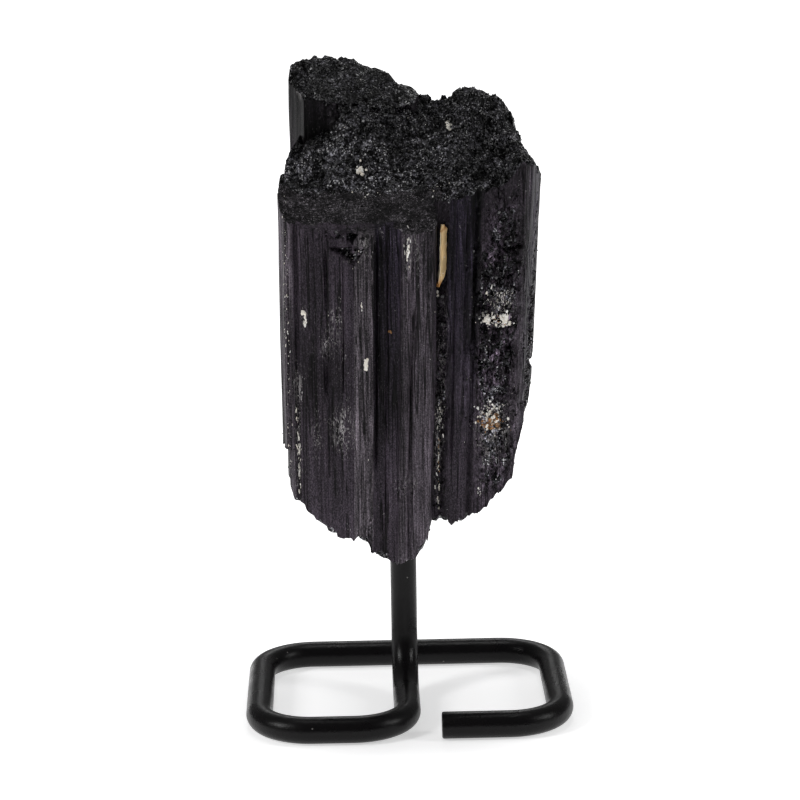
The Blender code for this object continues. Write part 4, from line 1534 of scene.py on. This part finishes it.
class TOURMALINE_OT_crusts(bpy.types.Operator):
    """Set pale and rusty mineral flecks into the grooves and breaks"""

    bl_idname = "tourmaline.crusts"
    bl_label = "Mineral Crusts"

    def execute(self, context):
        settings = context.scene.tourmaline_minerals
        surface = surface_of(bpy.data.objects["crystal_body"])
        picker = random.Random(23)
        placings = {"pale": [], "ochre": []}
        for kind, x, z, spread_x, spread_z, count, smallest, largest, slender in FRONT_FLECKS:
            for _ in range(count):
                spot = land_from_front(surface, picker.gauss(x, spread_x), picker.gauss(z, spread_z))
                size = smallest + (largest - smallest) * picker.random() ** 2
                turn = random_turn(picker, -0.35, 0.35)
                stretch = Vector((size, size * 0.6, size * slender * picker.uniform(0.6, 1.4))) * MM
                if spot:
                    placings[kind].append((turned_placing(spot, turn, stretch), picker.random()))
        for kind, x, y, spread_x, spread_y, count, smallest, largest in TOP_FLECKS:
            for _ in range(count):
                spot = land_from_above(surface, picker.gauss(x, spread_x), picker.gauss(y, spread_y))
                size = (smallest + (largest - smallest) * picker.random() ** 2) * MM
                turn = random_turn(picker, 0, math.tau)
                stretch = [size * picker.uniform(0.7, 1.2) for _ in range(3)]
                if spot:
                    placings[kind].append((turned_placing(spot, turn, stretch), picker.random()))
        pale = crust_finish("pale_crust", settings.pale_colour, SHADED_PALE_COLOUR)
        ochre = crust_finish("ochre_crust", settings.ochre_colour, SHADED_OCHRE_COLOUR)
        settle(scatter("pale_crust", placings["pale"], pale))
        settle(scatter("ochre_crust", placings["ochre"], ochre))
        return {"FINISHED"}


class TOURMALINE_OT_flake(bpy.types.Operator):
    """Stand the tan flake in the groove on the right of the front slab"""

    bl_idname = "tourmaline.flake"
    bl_label = "Tan Flake"

    def execute(self, context):
        settings = context.scene.tourmaline_minerals
        deselect_all()
        bpy.ops.mesh.primitive_grid_add(x_subdivisions=6, y_subdivisions=60, size=1.0)
        flake = context.object
        flake.name = "tan_flake"
        reddening = []
        creamy = []
        for vertex in flake.data.vertices:
            across, down = vertex.co.x + 0.5, 0.5 - vertex.co.y
            left = between(FLAKE_LEFT, down)
            right = between(FLAKE_RIGHT, down)
            chip = 0.16 * noise.noise(Vector((across * 2.0, down * 9.0, 3.0)))
            x = left + (right - left) * across + chip
            z = FLAKE_TOP_Z - FLAKE_LENGTH * down
            notch = math.exp(-(((down - 0.03 - 0.08 * (1.0 - across)) / 0.02) ** 2))
            y = FLAKE_Y + 0.35 * across + 0.15 * noise.noise(Vector((across * 3, down * 5, 8.0)))
            vertex.co = Vector((x, y, z)) * MM
            reddening.append(min(1.0, max(0.0, (down - 0.84) / 0.1, notch)))
            creamy.append(1.0 if across < 0.1 and down > 0.1 else 0.0)
        paint(flake.data, "red_end", reddening)
        paint(flake.data, "creamy", creamy)
        make_active(flake)
        thicken = flake.modifiers.new("thicken", "SOLIDIFY")
        thicken.thickness = FLAKE_THICKNESS * MM
        thicken.offset = 0.0
        bpy.ops.object.modifier_apply(modifier=thicken.name)
        bpy.ops.object.mode_set(mode="EDIT")
        bpy.ops.mesh.select_all(action="SELECT")
        bpy.ops.mesh.normals_make_consistent(inside=False)
        bpy.ops.object.mode_set(mode="OBJECT")
        flake.data.materials.clear()
        flake.data.materials.append(flake_finish(settings))
        settle(flake)
        return {"FINISHED"}


class TOURMALINE_OT_rod(bpy.types.Operator):
    """Bend the rod: a disc is drawn out along each straight run and turned round each bend"""

    bl_idname = "tourmaline.rod"
    bl_label = "Stand Rod"

    def execute(self, context):
        settings = context.scene.tourmaline_rod
        level = settings.diameter / 2 / MM
        bend_z = level + BEND_RADIUS
        side = LOOP_HALF_WIDTH - BEND_RADIUS
        left_front = FRONT_LEFT_RUN_Y + BEND_RADIUS
        right_front = FRONT_RIGHT_RUN_Y + BEND_RADIUS
        back = BACK_RUN_Y - BEND_RADIUS
        foot_x = UPRIGHT_X - BEND_RADIUS
        route = (
            ((0, 0, bend_z - ROD_TOP_Z), (UPRIGHT_X, UPRIGHT_Y - BEND_RADIUS, bend_z), (1, 0, 0)),
            ((0, left_front - UPRIGHT_Y + BEND_RADIUS, 0), (foot_x, left_front, level), (0, 0, 1)),
            ((-side - foot_x, 0, 0), (-side, left_front, level), (0, 0, 1)),
            ((0, back - left_front, 0), (-side, back, level), (0, 0, 1)),
            ((2 * side, 0, 0), (side, back, level), (0, 0, 1)),
            ((0, right_front - back, 0), (side, right_front, level), (0, 0, 1)),
        )
        deselect_all()
        bpy.ops.mesh.primitive_circle_add(
            vertices=settings.sides,
            radius=settings.diameter / 2,
            fill_type="NGON",
            location=Vector((UPRIGHT_X, UPRIGHT_Y, ROD_TOP_Z)) * MM,
        )
        rod = context.object
        rod.name = "bent_rod"
        bpy.ops.object.transform_apply(location=True, rotation=True, scale=True)
        bpy.ops.object.mode_set(mode="EDIT")
        bpy.ops.mesh.select_mode(type="FACE")
        bpy.ops.mesh.select_all(action="SELECT")
        for run, centre, axis in route:
            bpy.ops.mesh.extrude_region_move(TRANSFORM_OT_translate={"value": Vector(run) * MM})
            bpy.ops.mesh.spin(
                steps=settings.bend_steps, angle=math.pi / 2, center=Vector(centre) * MM, axis=axis
            )
        last_run = Vector((FREE_END_X - side, 0, 0)) * MM
        bpy.ops.mesh.extrude_region_move(TRANSFORM_OT_translate={"value": last_run})
        bpy.ops.mesh.bevel(offset=settings.end_chamfer, segments=2, affect="EDGES")
        bpy.ops.mesh.select_all(action="SELECT")
        bpy.ops.mesh.remove_doubles(threshold=0.00001)
        bpy.ops.mesh.normals_make_consistent(inside=False)
        bpy.ops.object.mode_set(mode="OBJECT")
        mesh = rod.data
        mesh.materials.clear()
        mesh.materials.append(coat_finish(settings))
        mesh.materials.append(cut_end_finish())
        cut_x = FREE_END_X * MM
        for face in mesh.polygons:
            reach = max(abs(mesh.vertices[i].co.x - cut_x) for i in face.vertices)
            if face.normal.x < -0.9 and reach < 0.05 * MM:
                face.material_index = 1
        make_active(rod)
        bpy.ops.object.shade_smooth_by_angle(angle=math.radians(ROD_SMOOTH_ANGLE))
        settle(rod, ROD_NODE)
        return {"FINISHED"}


def lay_plane(name, size, finish, place=(0.0, 0.0, 0.0)):
    """A flat plane with a width and a depth in metres."""
    deselect_all()
    bpy.ops.mesh.primitive_plane_add(size=1.0, location=place)
    plane = bpy.context.object
    plane.name = name
    plane.data.transform(Matrix.Diagonal((*size, 1.0, 1.0)))
    plane.data.materials.append(finish)
    return plane


def hang_boxes():
    for name, place, power, width, depth in SOFT_BOXES:
        bpy.ops.object.light_add(type="AREA", location=place)
        lamp = bpy.context.object
        lamp.name = name
        lamp.data.shape = "RECTANGLE"
        lamp.data.size = width
        lamp.data.size_y = depth
        lamp.data.energy = power
        towards = Vector(LAMP_TARGET) - Vector(place)
        lamp.rotation_euler = towards.to_track_quat("-Z", "Y").to_euler()


def room_light():
    """A room that is dim for the object and as pale as the floor for the camera."""
    room = bpy.data.worlds.new("soft_room")
    room.use_nodes = True
    nodes, links = room.node_tree.nodes, room.node_tree.links

    def combine(operation, first, second):
        made = nodes.new("ShaderNodeMath")
        made.operation = operation
        links.new(first, made.inputs[0])
        links.new(second, made.inputs[1])
        return made.outputs["Value"]

    parts = nodes.new("ShaderNodeSeparateXYZ")
    links.new(nodes.new("ShaderNodeTexCoord").outputs["Generated"], parts.inputs["Vector"])
    strengths = []
    for axis, low, high, dim, bright in ROOM_LIGHT:
        ramp = nodes.new("ShaderNodeMapRange")
        ramp.interpolation_type = "SMOOTHSTEP"
        links.new(parts.outputs[axis], ramp.inputs["Value"])
        for socket, value in zip(ramp.inputs[1:5], (low, high, dim, bright)):
            socket.default_value = value
        strengths.append(ramp.outputs["Result"])
    shown = nodes.new("ShaderNodeLightPath").outputs["Is Camera Ray"]
    strength = combine("MAXIMUM", combine("ADD", *strengths), shown)
    links.new(strength, nodes["Background"].inputs["Strength"])
    nodes["Background"].inputs["Color"].default_value = (1.0, 1.0, 1.0, 1.0)
    return room


def place_camera(settings):
    turn = Matrix.Rotation(-settings.yaw, 3, "Z")
    turn = turn @ Matrix.Rotation(math.pi / 2 - settings.pitch, 3, "X")
    turn = turn @ Matrix.Rotation(settings.roll, 3, "Z")
    place = Vector(settings.target) + turn @ Vector((0.0, 0.0, settings.distance))
    bpy.ops.object.camera_add(location=place, rotation=turn.to_euler())
    camera = bpy.context.object
    camera.name = "view_camera"
    camera.data.lens = settings.lens
    camera.data.sensor_width = SENSOR_WIDTH
    camera.data.clip_start = 0.01
    camera.data.clip_end = 100.0
    return camera


class TOURMALINE_OT_stage(bpy.types.Operator):
    """Lay the floor, hang the soft lights and place the camera"""

    bl_idname = "tourmaline.stage"
    bl_label = "Stage"

    def execute(self, context):
        settings = context.scene.tourmaline_stage
        scene = context.scene
        floor = lay_plane("floor", (settings.floor_size, settings.floor_size), floor_finish())
        card = lay_plane("dark_card", DARK_CARD_SIZE, card_finish(), DARK_CARD_PLACE)
        card.visible_camera = False
        card.visible_shadow = False
        hang_boxes()
        scene.world = room_light()
        scene.camera = place_camera(settings)
        scene.view_settings.view_transform = "Standard"
        scene.view_settings.look = "None"
        return {"FINISHED"}


class TOURMALINE_PT_pieces(bpy.types.Panel):
    """Lists the pieces with their sizes and colours"""

    bl_idname = "TOURMALINE_PT_pieces"
    bl_label = "Tourmaline on a Rod"
    bl_space_type = "VIEW_3D"
    bl_region_type = "UI"
    bl_category = "Tourmaline"

    def draw(self, context):
        for group_name, operators in PANEL_ROWS:
            box = self.layout.box()
            for operator in operators:
                box.operator(operator.bl_idname)
            group = getattr(context.scene, group_name)
            for name in group.__annotations__:
                box.prop(group, name)


SETTINGS = {
    "tourmaline_crystal": CrystalSettings,
    "tourmaline_grains": GrainSettings,
    "tourmaline_minerals": MineralSettings,
    "tourmaline_rod": RodSettings,
    "tourmaline_stage": StageSettings,
}
PANEL_ROWS = (
    ("tourmaline_crystal", (TOURMALINE_OT_body,)),
    ("tourmaline_grains", (TOURMALINE_OT_grains,)),
    ("tourmaline_minerals", (TOURMALINE_OT_crusts, TOURMALINE_OT_flake)),
    ("tourmaline_rod", (TOURMALINE_OT_rod,)),
    ("tourmaline_stage", (TOURMALINE_OT_stage,)),
)
CLASSES = (
    *SETTINGS.values(),
    TOURMALINE_OT_body,
    TOURMALINE_OT_grains,
    TOURMALINE_OT_crusts,
    TOURMALINE_OT_flake,
    TOURMALINE_OT_rod,
    TOURMALINE_OT_stage,
    TOURMALINE_PT_pieces,
)


def register():
    for made in CLASSES:
        bpy.utils.register_class(made)
    for name, group in SETTINGS.items():
        setattr(bpy.types.Scene, name, PointerProperty(type=group))


def unregister():
    for name in SETTINGS:
        delattr(bpy.types.Scene, name)
    for made in reversed(CLASSES):
        bpy.utils.unregister_class(made)


def main():
    noise.seed_set(NUDGE_SEED)
    register()
    bpy.ops.tourmaline.stage()
    bpy.ops.tourmaline.body()
    bpy.ops.tourmaline.grains()
    bpy.ops.tourmaline.crusts()
    bpy.ops.tourmaline.flake()
    bpy.ops.tourmaline.rod()


if __name__ == "__main__":
    main()
